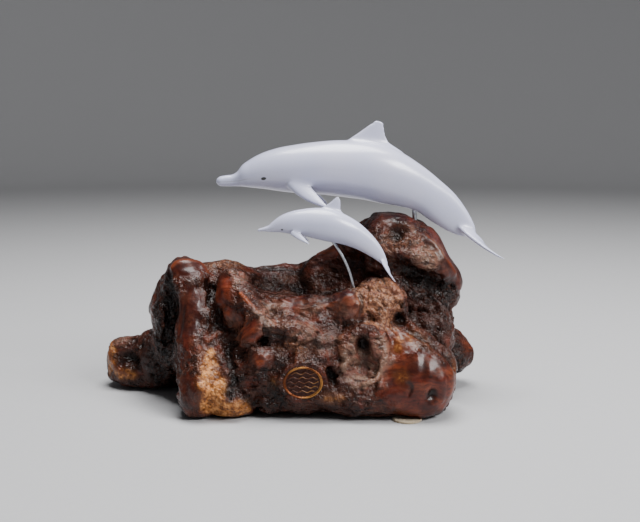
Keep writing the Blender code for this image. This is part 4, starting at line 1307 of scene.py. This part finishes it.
def seal_waves(x, z, half_x, half_z):
    """Rows of fine waves across the seal, 1 on their crests and 0 between them: each row follows a sine
    and ends short of the rim."""
    waves = np.zeros_like(x)
    for row, drop in enumerate(SEAL_ROWS):
        line = z - half_z * (drop + 0.055 * np.sin(x / half_x * 13.0 + row * 2.1))
        there = smooth_step((0.92 * np.sqrt(1 - drop**2) - 0.1 - np.abs(x / half_x)) / 0.08)
        waves = np.maximum(waves, there * smooth_step(1.5 - np.abs(line) / WAVE_WIDTH))
    return waves


def seal_surface(width, height, thickness, rim, sunk):
    """The oval seal: rings shrink from its back edge over a round raised rim to a sunk field with shallow
    waves, worked out as heights over the ellipse."""
    turn = round_turn(SEAL_SIDES)[None, :]
    share = np.concatenate([[1.0, 1.0], np.linspace(1.0, 0.03, SEAL_RINGS)])[:, None]
    half_x, half_z = width / 2, height / 2
    x = share * half_x * np.cos(turn)
    z = share * half_z * np.sin(turn)
    inset = (1 - share) * (half_x + half_z) / 2
    bead = np.sqrt(np.clip(1 - ((inset - rim / 2) / (rim / 2)) ** 2, 0, 1)) * rim * RIM_CROWN
    inner = smooth_step((inset - 0.7 * rim) / (0.5 * rim))
    field = smooth_step((inset - 1.15 * rim) / (0.3 * rim))
    waves = seal_waves(x, z, half_x, half_z)
    out = thickness - rim * RIM_CROWN + bead - inner * FIELD_DEPTH + WAVE_HEIGHT * waves * field
    out[0], out[1] = 0.0, thickness * 0.3
    points = np.stack([x, -out, z], 2).reshape(-1, 3)
    raised = np.maximum(1 - field * np.ones_like(x), 0.5 * waves * field)
    face = Vector(seal_place() * STEP + ORIGIN)
    tilt = Matrix.Rotation(-math.radians(SEAL_TILT), 4, "X")
    place = Matrix.Translation(face) @ tilt @ Matrix.Translation((0, sunk + thickness, 0))
    points, faces = moved_by(place, points), tube_faces(len(share), SEAL_SIDES)
    return mesh_object("oval_seal", points, faces, {"raised": raised.ravel()})


def floor_surface():
    """The studio floor: a profile turned round, flat near the figurine and rising through an arc to a
    wall."""
    profile = [(r, 0.0) for r in FLOOR_RADII]
    for angle in np.linspace(0, math.pi / 2, 16):
        rise = FLOOR_ARC - FLOOR_ARC * math.cos(angle)
        profile.append((FLOOR_BEND + FLOOR_ARC * math.sin(angle), rise))
    profile.append(FLOOR_TOP)
    r, z = np.array(profile).T[:, :, None]
    turn = round_turn(FLOOR_SIDES)
    points = np.stack([r * np.cos(turn), r * np.sin(turn), z + 0 * np.cos(turn)], 2).reshape(-1, 3)
    quads = ring_quads(len(profile), FLOOR_SIDES)[:, ::-1]
    return mesh_object("studio_floor", points, quads, turn_out=False)


def pad_surface(name, low, high):
    """A round felt pad, turned from a profile with rounded edges. Its radius wavers a little round the
    edge."""
    middle = (np.array(low) + np.array(high)) / 2
    radius, thick = (high[0] - low[0]) / 2, high[2] - low[2]
    bevel = thick * PAD_BEVEL
    arc = np.linspace(0, math.pi / 2, 6)
    top = list(zip(radius - bevel + bevel * np.cos(arc), thick - bevel + bevel * np.sin(arc)))
    top += [(r, thick) for r in np.linspace(0.1, 0.97, 8)[::-1] * (radius - bevel)]
    profile = np.array([(r, thick - z) for r, z in top[::-1]] + top)
    turn = round_turn(PAD_SIDES)
    waver = 1 - PAD_WAVER * (1 + np.sin(turn * 7 + middle[0] * 900)) * 0.5
    r = profile[:, :1] * waver[None, :]
    z = low[2] + profile[:, 1:] + 0 * r
    points = np.stack([middle[0] + r * np.cos(turn), middle[1] + r * np.sin(turn), z], 2)
    return mesh_object(name, points.reshape(-1, 3), tube_faces(len(profile), PAD_SIDES))


# Materials


class Nodes:
    """Lays out a tree of shader nodes in few words."""

    def __init__(self, tree):
        self.tree = tree

    def fill(self, node, inputs):
        """Gives a node's inputs their links or plain values."""
        for word, value in inputs.items():
            if isinstance(value, bpy.types.NodeSocket):
                self.tree.links.new(value, node.inputs[word])
            else:
                node.inputs[word].default_value = value

    def add(self, kind, inputs=None, **settings):
        """A node with its settings and inputs."""
        node = self.tree.nodes.new(kind)
        for word, value in settings.items():
            setattr(node, word, value)
        self.fill(node, inputs or {})
        return node

    def place(self, scale=(1, 1, 1), vector=None):
        """Object coordinates, or another vector, scaled along each axis."""
        vector = vector or self.add("ShaderNodeTexCoord").outputs["Object"]
        return self.add("ShaderNodeMapping", {"Vector": vector, "Scale": scale}).outputs[0]

    def noise(self, size, detail=3.0, vector=None, bend=0.0):
        """Noise from 0 to 1 whose bumps are size metres across."""
        vector = vector or self.place()
        values = {"Vector": vector, "Scale": 1 / size, "Detail": detail, "Distortion": bend}
        return self.add("ShaderNodeTexNoise", values).outputs["Fac"]

    def span(self, value, low, high, to_low=0.0, to_high=1.0):
        """A value moved from one range to another and held inside it."""
        values = {"Value": value, "From Min": low, "From Max": high, "To Min": to_low, "To Max": to_high}
        return self.add("ShaderNodeMapRange", values).outputs["Result"]

    def sum(self, how, first, second=0.0):
        """Two numbers put together."""
        return self.add("ShaderNodeMath", {0: first, 1: second}, operation=how).outputs[0]

    def blend(self, share, first, second):
        """Two numbers mixed by a share."""
        return self.add("ShaderNodeMix", {0: share, 2: first, 3: second}, data_type="FLOAT").outputs[0]

    def mix(self, share, first, second):
        """Two colours mixed by a share."""
        values = {0: share, 6: colour_of(first), 7: colour_of(second)}
        return self.add("ShaderNodeMix", values, data_type="RGBA").outputs[2]

    def layers(self, colour, *rows):
        """A colour under others. Each row holds a value, the span of it over which the next colour is
        laid on, the shares at both ends of the span, and that colour."""
        for value, low, high, to_low, to_high, second in rows:
            colour = self.mix(self.span(value, low, high, to_low, to_high), colour, second)
        return colour

    def mark(self, word, output="Fac"):
        """A vertex mark."""
        return self.add("ShaderNodeAttribute", attribute_name=word).outputs[output]


def colour_of(value):
    """A colour with its alpha, or the socket that it already is."""
    return value if isinstance(value, bpy.types.NodeSocket) else (*tuple(value)[:3], 1.0)


def mottle_group():
    """Shared by the other finishes: uneven colour and a matching height at one size."""
    name = "mottle"
    if name in bpy.data.node_groups:
        return bpy.data.node_groups[name]
    tree = bpy.data.node_groups.new(name, "ShaderNodeTree")
    tree.interface.new_socket("Colour", in_out="INPUT", socket_type="NodeSocketColor")
    for word, value in (("Scale", 500.0), ("Amount", 0.2)):
        socket = tree.interface.new_socket(word, in_out="INPUT", socket_type="NodeSocketFloat")
        socket.default_value = value
    tree.interface.new_socket("Colour", in_out="OUTPUT", socket_type="NodeSocketColor")
    tree.interface.new_socket("Height", in_out="OUTPUT", socket_type="NodeSocketFloat")
    nodes = Nodes(tree)
    source = nodes.add("NodeGroupInput")
    values = {"Vector": nodes.place(), "Scale": source.outputs["Scale"], "Detail": 4.0}
    bumps = nodes.add("ShaderNodeTexNoise", values).outputs["Fac"]
    dark = nodes.span(bumps, 0.3, 0.7, 1.0, 0.0)
    share = nodes.sum("MULTIPLY", dark, source.outputs["Amount"])
    colour = nodes.mix(share, source.outputs["Colour"], (0.0, 0.0, 0.0))
    nodes.add("NodeGroupOutput", {"Colour": colour, "Height": bumps})
    return tree


def mottled(nodes, colour, size, amount):
    """The mottle group placed in a material. Gives its colour and its height."""
    group = nodes.add("ShaderNodeGroup", node_tree=mottle_group())
    nodes.fill(group, {"Colour": colour_of(colour), "Scale": 1 / size, "Amount": amount})
    return group.outputs["Colour"], group.outputs["Height"]


def new_material(name, constants):
    """A material with its Principled shader, whose constant values are set on the shader itself."""
    material = bpy.data.materials.new(name)
    material.use_nodes = True
    shader = material.node_tree.nodes["Principled BSDF"]
    nodes = Nodes(material.node_tree)
    nodes.fill(shader, constants)
    return material, nodes, shader


def bumped(nodes, height, strength, distance):
    """A normal from a height."""
    values = {"Height": height, "Strength": strength, "Distance": distance}
    return nodes.add("ShaderNodeBump", values).outputs["Normal"]


def burl_colour(nodes, look, broad, middle, fine, specks, streaks, bands):
    """The burl's colours, one over another: heartwood, then red knobs with painted shade on some of them,
    pale wood, bark, golden sapwood, worn folds with a painted highlight along their crests, and char that
    also carries painted shade, each where its own mark is, with ragged edges. Last, painted shade darkens
    the hollows, the sunk places and the cut creases towards the char colour."""
    ragged = nodes.span(middle, 0.32, 0.68, 0.35, 1.15)
    ragged = nodes.sum("ADD", ragged, nodes.span(fine, 0.30, 0.70, 0.0, 0.5))

    def torn(word):
        """A mark whose edge is broken up."""
        return nodes.sum("MULTIPLY", nodes.mark(word), ragged)

    heart = nodes.layers(
        look.heart,
        (bands, 0.36, 0.64, 0.0, 1.0, look.heart_light),
        (middle, 0.52, 0.72, 0.0, 0.55, look.red),
        (streaks, 0.50, 0.70, 0.0, 0.50, look.bark),
    )
    red = nodes.layers(
        look.red_deep,
        (broad, 0.40, 0.60, 0.0, 1.0, look.red),
        (bands, 0.48, 0.70, 0.0, 0.5, look.orange),
        (streaks, 0.34, 0.52, 0.65, 0.0, look.red_deep),
        (streaks, 0.56, 0.72, 0.0, 0.22, look.pinkish),
        # Painted shade: the deep mark darkens the polished red towards deep red.
        (torn("deep"), 0.0, 1.2, 0.0, 0.85, look.red_deep),
    )
    pale = nodes.layers(
        look.pale_deep,
        (streaks, 0.36, 0.62, 0.0, 1.0, look.pale),
        (middle, 0.44, 0.64, 0.0, 0.7, look.pinkish),
    )
    bark = nodes.layers(
        look.bark,
        (fine, 0.38, 0.62, 0.0, 1.0, look.bark_light),
        (middle, 0.50, 0.70, 0.0, 0.5, look.pinkish),
    )
    gold = nodes.layers(
        look.gold_deep,
        (streaks, 0.36, 0.60, 0.0, 1.0, look.gold),
        (middle, 0.46, 0.66, 0.0, 0.6, look.gold_light),
        (fine, 0.36, 0.50, 0.75, 0.0, look.gold_deep),
    )
    # Painted highlight: the fold crests are lightened, from orange towards pale where the pale mark is,
    # partly as worn edges and partly as a highlight along the crest.
    worn = nodes.mix(nodes.mark("pale"), look.orange, look.pale)
    char = nodes.layers(look.char, (specks, 0.52, 0.68, 0.0, 0.9, look.heart_light))
    colour = nodes.layers(
        heart,
        (torn("polished"), 0.15, 0.95, 0.0, 1.0, red),
        (torn("pale"), 0.12, 0.9, 0.0, 0.92, pale),
        (torn("barky"), 0.1, 0.8, 0.0, 1.0, bark),
        (torn("golden"), 0.05, 0.55, 0.0, 0.8, look.gold_deep),
        (torn("golden"), 0.35, 0.95, 0.0, 1.0, gold),
        # Painted highlight and wear on the raised fold crests.
        (nodes.mark("raised"), 0.7, 2.2, 0.0, 0.85, worn),
        # Char, and painted shade where its zone lies in holes, under overhangs and along the bottom.
        (torn("charred"), 0.15, 1.1, 0.0, 0.92, char),
    )
    # Painted shade: the colour darkens towards char in hollows, where the wood is sunk and in the cut
    # creases; the specks are dark random spots.
    dark = nodes.span(nodes.mark("hollow"), -0.1, -1.8)
    for value, low, high, most in (
        (nodes.mark("sunk"), 0.8, 3.2, 1.0),
        (nodes.mark("cut"), 0.3, 1.3, 0.8),
        (specks, 0.60, 0.72, 0.6),
    ):
        dark = nodes.sum("MAXIMUM", dark, nodes.span(value, low, high, 0.0, most))
    return nodes.mix(nodes.sum("MULTIPLY", dark, 0.85), colour, look.char)


def burl_material(look):
    """Lacquered burl: its colours, with streaks along the grain, pores, and a coat where it is
    polished."""
    constants = {"Coat Roughness": 0.14, "Specular IOR Level": 0.23}
    material, nodes, shader = new_material("lacquered burl", constants)
    broad, middle = nodes.noise(0.018, 3.0, bend=0.6), nodes.noise(0.0060, 4.0, bend=1.2)
    fine, specks = nodes.noise(0.0016, 5.0), nodes.noise(0.0030, 3.0, bend=1.0)
    values = {"Vector": nodes.place(), "Scale": 70.0, "Detail": 2.0}
    warp = nodes.add("ShaderNodeTexNoise", values).outputs["Color"]
    shift = nodes.add("ShaderNodeVectorMath", {0: warp, "Scale": 0.010}, operation="SCALE").outputs[0]
    moved = nodes.add("ShaderNodeVectorMath", {0: nodes.place(), 1: shift}, operation="ADD").outputs[0]
    along, up = nodes.place((0.22, 1, 1), moved), nodes.place((1, 1, 0.22), moved)
    upright = nodes.mark("upright")
    streaks, bands = (
        nodes.blend(upright, nodes.noise(size, detail, along, 0.4), nodes.noise(size, detail, up, 0.4))
        for size, detail in ((0.0018, 4.0), (0.0050, 3.0))
    )
    polished = nodes.mark("polished")
    height = nodes.sum("ADD", nodes.sum("MULTIPLY", fine, 0.25), nodes.sum("MULTIPLY", streaks, 0.4))
    height = nodes.sum("ADD", height, nodes.noise(0.0024, 2.0, bend=0.5))
    height = nodes.sum("MULTIPLY", height, nodes.span(polished, 0.0, 0.9, 1.0, 0.08))
    satin = nodes.span(polished, 0.0, 0.9, 0.0, 0.20)
    links = {
        "Base Color": burl_colour(nodes, look, broad, middle, fine, specks, streaks, bands),
        "Roughness": nodes.sum("ADD", nodes.span(fine, 0.3, 0.7, 0.08, 0.20), satin),
        "Coat Weight": nodes.span(polished, 0.2, 0.9, 0.0, 0.16),
        "Normal": bumped(nodes, height, 1.0, 0.0016),
    }
    nodes.fill(shader, links)
    return material


def pearl_material(look):
    """Pearl enamel with painted eyes, and a fine darker line along the mouth that is painted shade for its
    crease.
    """
    constants = {"Coat Roughness": 0.18, "Specular IOR Level": 0.60}
    material, nodes, shader = new_material("pearl enamel", constants)
    tint = nodes.layers(look.pearl, (nodes.noise(0.030, 2.0), 0.35, 0.65, 0.0, 1.0, look.pearl_cool))
    colour, height = mottled(nodes, tint, 0.0012, 0.02)
    # Painted shade: a thin darker line along the mouth stands for the shade of its crease.
    over, along = nodes.add("ShaderNodeSeparateXYZ", {0: nodes.mark("lip_mark", "Vector")}).outputs[:2]
    thin = nodes.span(nodes.sum("ABSOLUTE", over), 0.10, 0.34, 0.55, 0.0)
    start, end = nodes.span(along, 0.02, 0.20), nodes.span(along, 0.80, 1.0, 1.0, 0.0)
    lips = nodes.sum("MULTIPLY", thin, nodes.sum("MULTIPLY", start, end))
    colour = nodes.mix(lips, colour, look.mouth_shade)
    place = nodes.mark("eye_mark", "Vector")
    far = nodes.add("ShaderNodeVectorMath", {0: place}, operation="LENGTH").outputs["Value"]
    eye = nodes.span(far, 0.85, 1.1, 1.0, 0.0)
    links = {
        "Base Color": nodes.mix(eye, colour, look.eye),
        "Roughness": nodes.span(nodes.noise(0.012, 3.0), 0.3, 0.7, 0.28, 0.33),
        "Coat Weight": nodes.span(eye, 0.0, 1.0, 0.55, 0.0),
        "Normal": bumped(nodes, height, 0.06, 0.0004),
    }
    nodes.fill(shader, links)
    return material


def wire_material(look):
    """Drawn steel wire: fine lines along it and uneven sheen."""
    material, nodes, shader = new_material("drawn wire", {"Metallic": 1.0})
    colour, _ = mottled(nodes, look.wire, 0.0011, 0.25)
    lines = nodes.noise(0.0002, 3.0, nodes.place((1, 1, 0.05)))
    links = {
        "Base Color": colour,
        "Roughness": nodes.span(lines, 0.3, 0.7, 0.22, 0.42),
        "Normal": bumped(nodes, lines, 0.3, 0.00005),
    }
    nodes.fill(shader, links)
    return material


def seal_material(look):
    """Antique brass seal: bright rim and waves over a dark, stained field."""
    constants = {"Coat Weight": 0.1, "Coat Roughness": 0.1, "Specular IOR Level": 0.25}
    material, nodes, shader = new_material("antique brass", constants)
    field, height = mottled(nodes, look.seal_field, 0.0012, 0.5)
    worn = nodes.noise(0.010, 3.0)
    brass = nodes.layers(look.seal_rim, (worn, 0.42, 0.60, 0.0, 1.0, look.seal_rim_light))
    share = nodes.span(nodes.mark("raised"), 0.25, 0.75)
    links = {
        "Base Color": nodes.mix(share, field, brass),
        "Metallic": nodes.span(share, 0.0, 1.0, 0.10, 0.90),
        "Roughness": nodes.span(height, 0.3, 0.7, 0.22, 0.38),
        "Normal": bumped(nodes, height, 0.35, 0.0003),
    }
    nodes.fill(shader, links)
    return material


def felt_material(look):
    """Pressed felt: short tangled fibres."""
    material, nodes, shader = new_material("pressed felt", {"Roughness": 0.95, "Sheen Weight": 0.3})
    colour, height = mottled(nodes, look.felt, 0.0006, 0.35)
    threads = nodes.noise(0.0003, 4.0, nodes.place((1, 1, 2.5)), 2.0)
    both = nodes.sum("ADD", height, threads)
    nodes.fill(shader, {"Base Color": colour, "Normal": bumped(nodes, both, 0.8, 0.0003)})
    return material


def floor_material(look):
    """A plain pale studio floor."""
    material, nodes, shader = new_material("pale floor", {"Roughness": 0.7})
    colour, height = mottled(nodes, look.floor, 0.004, 0.02)
    nodes.fill(shader, {"Base Color": colour, "Normal": bumped(nodes, height, 0.05, 0.0005)})
    return material


# Settings


def colour_setting(name, description, value):
    """A colour that the panel shows."""
    return FloatVectorProperty(
        name=name, description=description, default=value, size=3, subtype="COLOR", min=0, max=1
    )


def strength_setting(name, description, value):
    """A strength or a power that the panel shows."""
    return FloatProperty(name=name, description=description, default=value, min=0)


def length_setting(name, description, value):
    """A length that the panel shows."""
    return FloatProperty(
        name=name, description=description, default=value, min=0, subtype="DISTANCE", unit="LENGTH"
    )


class BurlSettings(bpy.types.PropertyGroup):
    """Size of the burl's faces and relief, and the colours of its wood."""

    cell: length_setting("Cell", "Width of the burl's faces", 0.00108)
    relief: strength_setting("Relief", "Strength of cracks, pits and fibres", 1.0)
    heart: colour_setting("Heartwood", "Darker heartwood", (0.018, 0.0062, 0.0045))
    heart_light: colour_setting("Light heartwood", "Lighter heartwood", (0.062, 0.021, 0.0140))
    # Deep red, also the colour of the painted shade on the polished wood.
    red_deep: colour_setting("Deep red", "Polished wood in its darker parts", (0.026, 0.0052, 0.0036))
    red: colour_setting("Red", "Polished wood", (0.128, 0.0205, 0.0097))
    orange: colour_setting("Orange", "Worn edges and the brightest polished wood", (0.240, 0.054, 0.018))
    bark: colour_setting("Bark", "Cracked bark", (0.108, 0.041, 0.023))
    bark_light: colour_setting("Light bark", "Crests of the bark", (0.330, 0.150, 0.080))
    pale_deep: colour_setting("Deep pale", "Pale wood between its streaks", (0.034, 0.016, 0.011))
    # Pale, also the colour of the painted highlight along the fold crests.
    pale: colour_setting("Pale", "Pale wood", (0.225, 0.132, 0.092))
    pinkish: colour_setting("Pinkish", "Pale wood where it is pinkish", (0.200, 0.070, 0.050))
    gold_deep: colour_setting("Deep gold", "Sapwood between its fibres", (0.130, 0.040, 0.011))
    gold: colour_setting("Gold", "Sapwood", (0.500, 0.190, 0.052))
    gold_light: colour_setting("Light gold", "Worn sapwood", (0.740, 0.350, 0.125))
    # Char, and the colour that the painted shade in hollows, recesses and creases darkens towards.
    char: colour_setting("Char", "Hollows and pits", (0.0040, 0.0027, 0.0023))


class DolphinSettings(bpy.types.PropertyGroup):
    """Size of the dolphins' faces and their colours."""

    mother_cell: length_setting("Mother's cell", "Width of the mother's faces", 0.00050)
    calf_cell: length_setting("Calf's cell", "Width of the calf's faces", 0.00028)
    pearl: colour_setting("Pearl", "Pearl enamel", (0.612, 0.616, 0.775))
    pearl_cool: colour_setting("Cool pearl", "Pearl enamel where it is cooler", (0.552, 0.572, 0.755))
    eye: colour_setting("Eye", "Painted eyes", (0.006, 0.006, 0.007))
    # Painted shade of the mouth's crease.
    mouth_shade: colour_setting("Lip", "Line of the mouth", (0.300, 0.300, 0.370))


class MetalSettings(bpy.types.PropertyGroup):
    """Sizes and colours of the wires, the seal and the pads."""

    mother_wire: length_setting("Mother's wire", "Diameter of the mother's pin", 0.0026)
    calf_wire: length_setting("Calf's wire", "Diameter of the calf's wire", 0.0016)
    seal_width: length_setting("Seal width", "Width of the oval seal", 0.0215)
    seal_height: length_setting("Seal height", "Height of the oval seal", 0.0172)
    seal_thickness: length_setting("Seal thickness", "Thickness of the seal at its rim", 0.0016)
    seal_bead: length_setting("Seal bead", "Width of the seal's raised rim", 0.0010)
    seal_sunk: length_setting("Seal sunk", "How deep the seal is let into the wood", 0.0009)
    wire: colour_setting("Wire", "Steel wire", (0.520, 0.540, 0.580))
    seal_field: colour_setting("Seal field", "The seal's stained field", (0.036, 0.010, 0.006))
    seal_rim: colour_setting("Seal rim", "The seal's rim", (0.160, 0.046, 0.017))
    seal_rim_light: colour_setting("Bright rim", "The seal's worn, bright rim", (0.520, 0.235, 0.066))
    felt: colour_setting("Felt", "The pads' felt", (0.560, 0.440, 0.290))


class StageSettings(bpy.types.PropertyGroup):
    """The floor and the light."""

    floor: colour_setting("Floor", "The studio floor", (0.460, 0.460, 0.470))
    key: strength_setting("Key light", "Power of the key light in watts", 17.0)
    top: strength_setting("Top light", "Power of the overhead light in watts", 24.0)
    fill: strength_setting("Fill light", "Power of the fill light in watts", 2.5)
    sky: strength_setting("Surroundings", "Strength of the surroundings", 0.09)


# Light and camera


def add_light(context, name, place, size, power):
    """A flat, wide light at a place, turned towards the figurine's middle."""
    data = bpy.data.lights.new(name, "AREA")
    data.shape = "RECTANGLE"
    data.size, data.size_y = size
    data.energy = power
    light = bpy.data.objects.new(name, data)
    light.location = place
    aim = Vector(place) - Vector(LIT_POINT)
    light.rotation_euler = aim.to_track_quat("Z", "Y").to_euler()
    context.scene.collection.objects.link(light)


def add_camera(context):
    """The camera, at the photograph's viewing angle."""
    data = bpy.data.cameras.new("camera")
    data.sensor_width, data.lens = CAMERA_SENSOR, CAMERA_LENS
    data.clip_start = 0.02
    camera = bpy.data.objects.new("camera", data)
    camera.location = Vector(CAMERA_PLACE) + Vector(ORIGIN)
    camera.rotation_euler = (math.pi / 2 - math.radians(CAMERA_DOWN), 0, 0)
    context.scene.collection.objects.link(camera)
    context.scene.camera = camera


# Operators


class FIGURINE_OT_burl(bpy.types.Operator):
    """Adds the burl root"""

    bl_idname = "figurine.burl"
    bl_label = "Burl root"

    def execute(self, context):
        look = context.scene.burl_look
        points, faces = burl_surface(look.cell / STEP, look.relief)
        marks = burl_marks(points)
        points = held_in(points * STEP + ORIGIN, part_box("burl_root"), BOX_EDGE)
        item = mesh_object("burl_wood", points, faces, marks)
        finish_piece(item, "burl_root", burl_material(look))
        return {"FINISHED"}


class FIGURINE_OT_dolphins(bpy.types.Operator):
    """Adds the mother and her calf"""

    bl_idname = "figurine.dolphins"
    bl_label = "Dolphins"

    def execute(self, context):
        look = context.scene.dolphin_look
        material = pearl_material(look)
        _, touch = wire_route(MOTHER_STAND, MOTHER_WIRE)
        finish_piece(make_dolphin(MOTHER, touch, look.mother_cell), "mother_dolphin", material)
        _, touch = wire_route(CALF_STAND, CALF_WIRE)
        finish_piece(make_dolphin(CALF, touch, look.calf_cell), "calf_dolphin", material)
        return {"FINISHED"}


class FIGURINE_OT_wires(bpy.types.Operator):
    """Adds the mother's pin and the calf's wire"""

    bl_idname = "figurine.wires"
    bl_label = "Wires"

    def execute(self, context):
        look = context.scene.metal_look
        material = wire_material(look)
        route, _ = wire_route(MOTHER_STAND, MOTHER_WIRE)
        item = wire_tube("pin_of_mother", route, look.mother_wire / 2, PIN_SIDES)
        finish_piece(item, "mother_pin", material)
        route, _ = wire_route(CALF_STAND, CALF_WIRE)
        item = wire_tube("wire_of_calf", route, look.calf_wire / 2, WIRE_SIDES)
        finish_piece(item, "calf_wire", material)
        return {"FINISHED"}


class FIGURINE_OT_seal(bpy.types.Operator):
    """Adds the oval seal, bare of any mark"""

    bl_idname = "figurine.seal"
    bl_label = "Seal"

    def execute(self, context):
        look = context.scene.metal_look
        sizes = (look.seal_width, look.seal_height, look.seal_thickness, look.seal_bead, look.seal_sunk)
        finish_piece(seal_surface(*sizes), "makers_seal", seal_material(look))
        return {"FINISHED"}


class FIGURINE_OT_pads(bpy.types.Operator):
    """Adds the felt pads"""

    bl_idname = "figurine.pads"
    bl_label = "Pads"

    def execute(self, context):
        material = felt_material(context.scene.metal_look)
        for word in PAD_PLACES:
            node = f"pad_{word}"
            finish_piece(pad_surface(f"felt_{word}", *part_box(node)), node, material)
        return {"FINISHED"}


class FIGURINE_OT_stage(bpy.types.Operator):
    """Adds the floor, the lights and the camera"""

    bl_idname = "figurine.stage"
    bl_label = "Stage"

    def execute(self, context):
        look = context.scene.stage_look
        floor = floor_surface()
        floor.data.materials.append(floor_material(look))
        world = bpy.data.worlds.new("studio")
        context.scene.world = world
        world.use_nodes = True
        background = world.node_tree.nodes["Background"]
        background.inputs["Color"].default_value = SKY_COLOUR
        background.inputs["Strength"].default_value = look.sky
        for name, (place, size) in LIGHTS.items():
            add_light(context, name, place, size, getattr(look, name))
        add_camera(context)
        return {"FINISHED"}


OPERATORS = (
    FIGURINE_OT_burl,
    FIGURINE_OT_dolphins,
    FIGURINE_OT_wires,
    FIGURINE_OT_seal,
    FIGURINE_OT_pads,
    FIGURINE_OT_stage,
)
LOOKS = {
    "burl_look": BurlSettings,
    "dolphin_look": DolphinSettings,
    "metal_look": MetalSettings,
    "stage_look": StageSettings,
}


class FIGURINE_PT_panel(bpy.types.Panel):
    """Lists the pieces of the figurine"""

    bl_idname = "FIGURINE_PT_panel"
    bl_label = "Figurine"
    bl_space_type = "VIEW_3D"
    bl_region_type = "UI"
    bl_category = "Figurine"

    def draw(self, context):
        for operator in OPERATORS:
            self.layout.operator(operator.bl_idname)
        for word, group in LOOKS.items():
            box = self.layout.box()
            for setting in group.__annotations__:
                box.prop(getattr(context.scene, word), setting)


def register():
    for group in LOOKS.values():
        bpy.utils.register_class(group)
    for operator in OPERATORS:
        bpy.utils.register_class(operator)
    bpy.utils.register_class(FIGURINE_PT_panel)
    for word, group in LOOKS.items():
        setattr(bpy.types.Scene, word, PointerProperty(type=group))


def unregister():
    for word in LOOKS:
        delattr(bpy.types.Scene, word)
    bpy.utils.unregister_class(FIGURINE_PT_panel)
    for operator in reversed(OPERATORS):
        bpy.utils.unregister_class(operator)
    for group in reversed(list(LOOKS.values())):
        bpy.utils.unregister_class(group)


def main():
    """Adds every piece in order."""
    register()
    for operator in OPERATORS:
        getattr(bpy.ops.figurine, operator.bl_idname.split(".")[1])()
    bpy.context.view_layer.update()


if __name__ == "__main__":
    main()
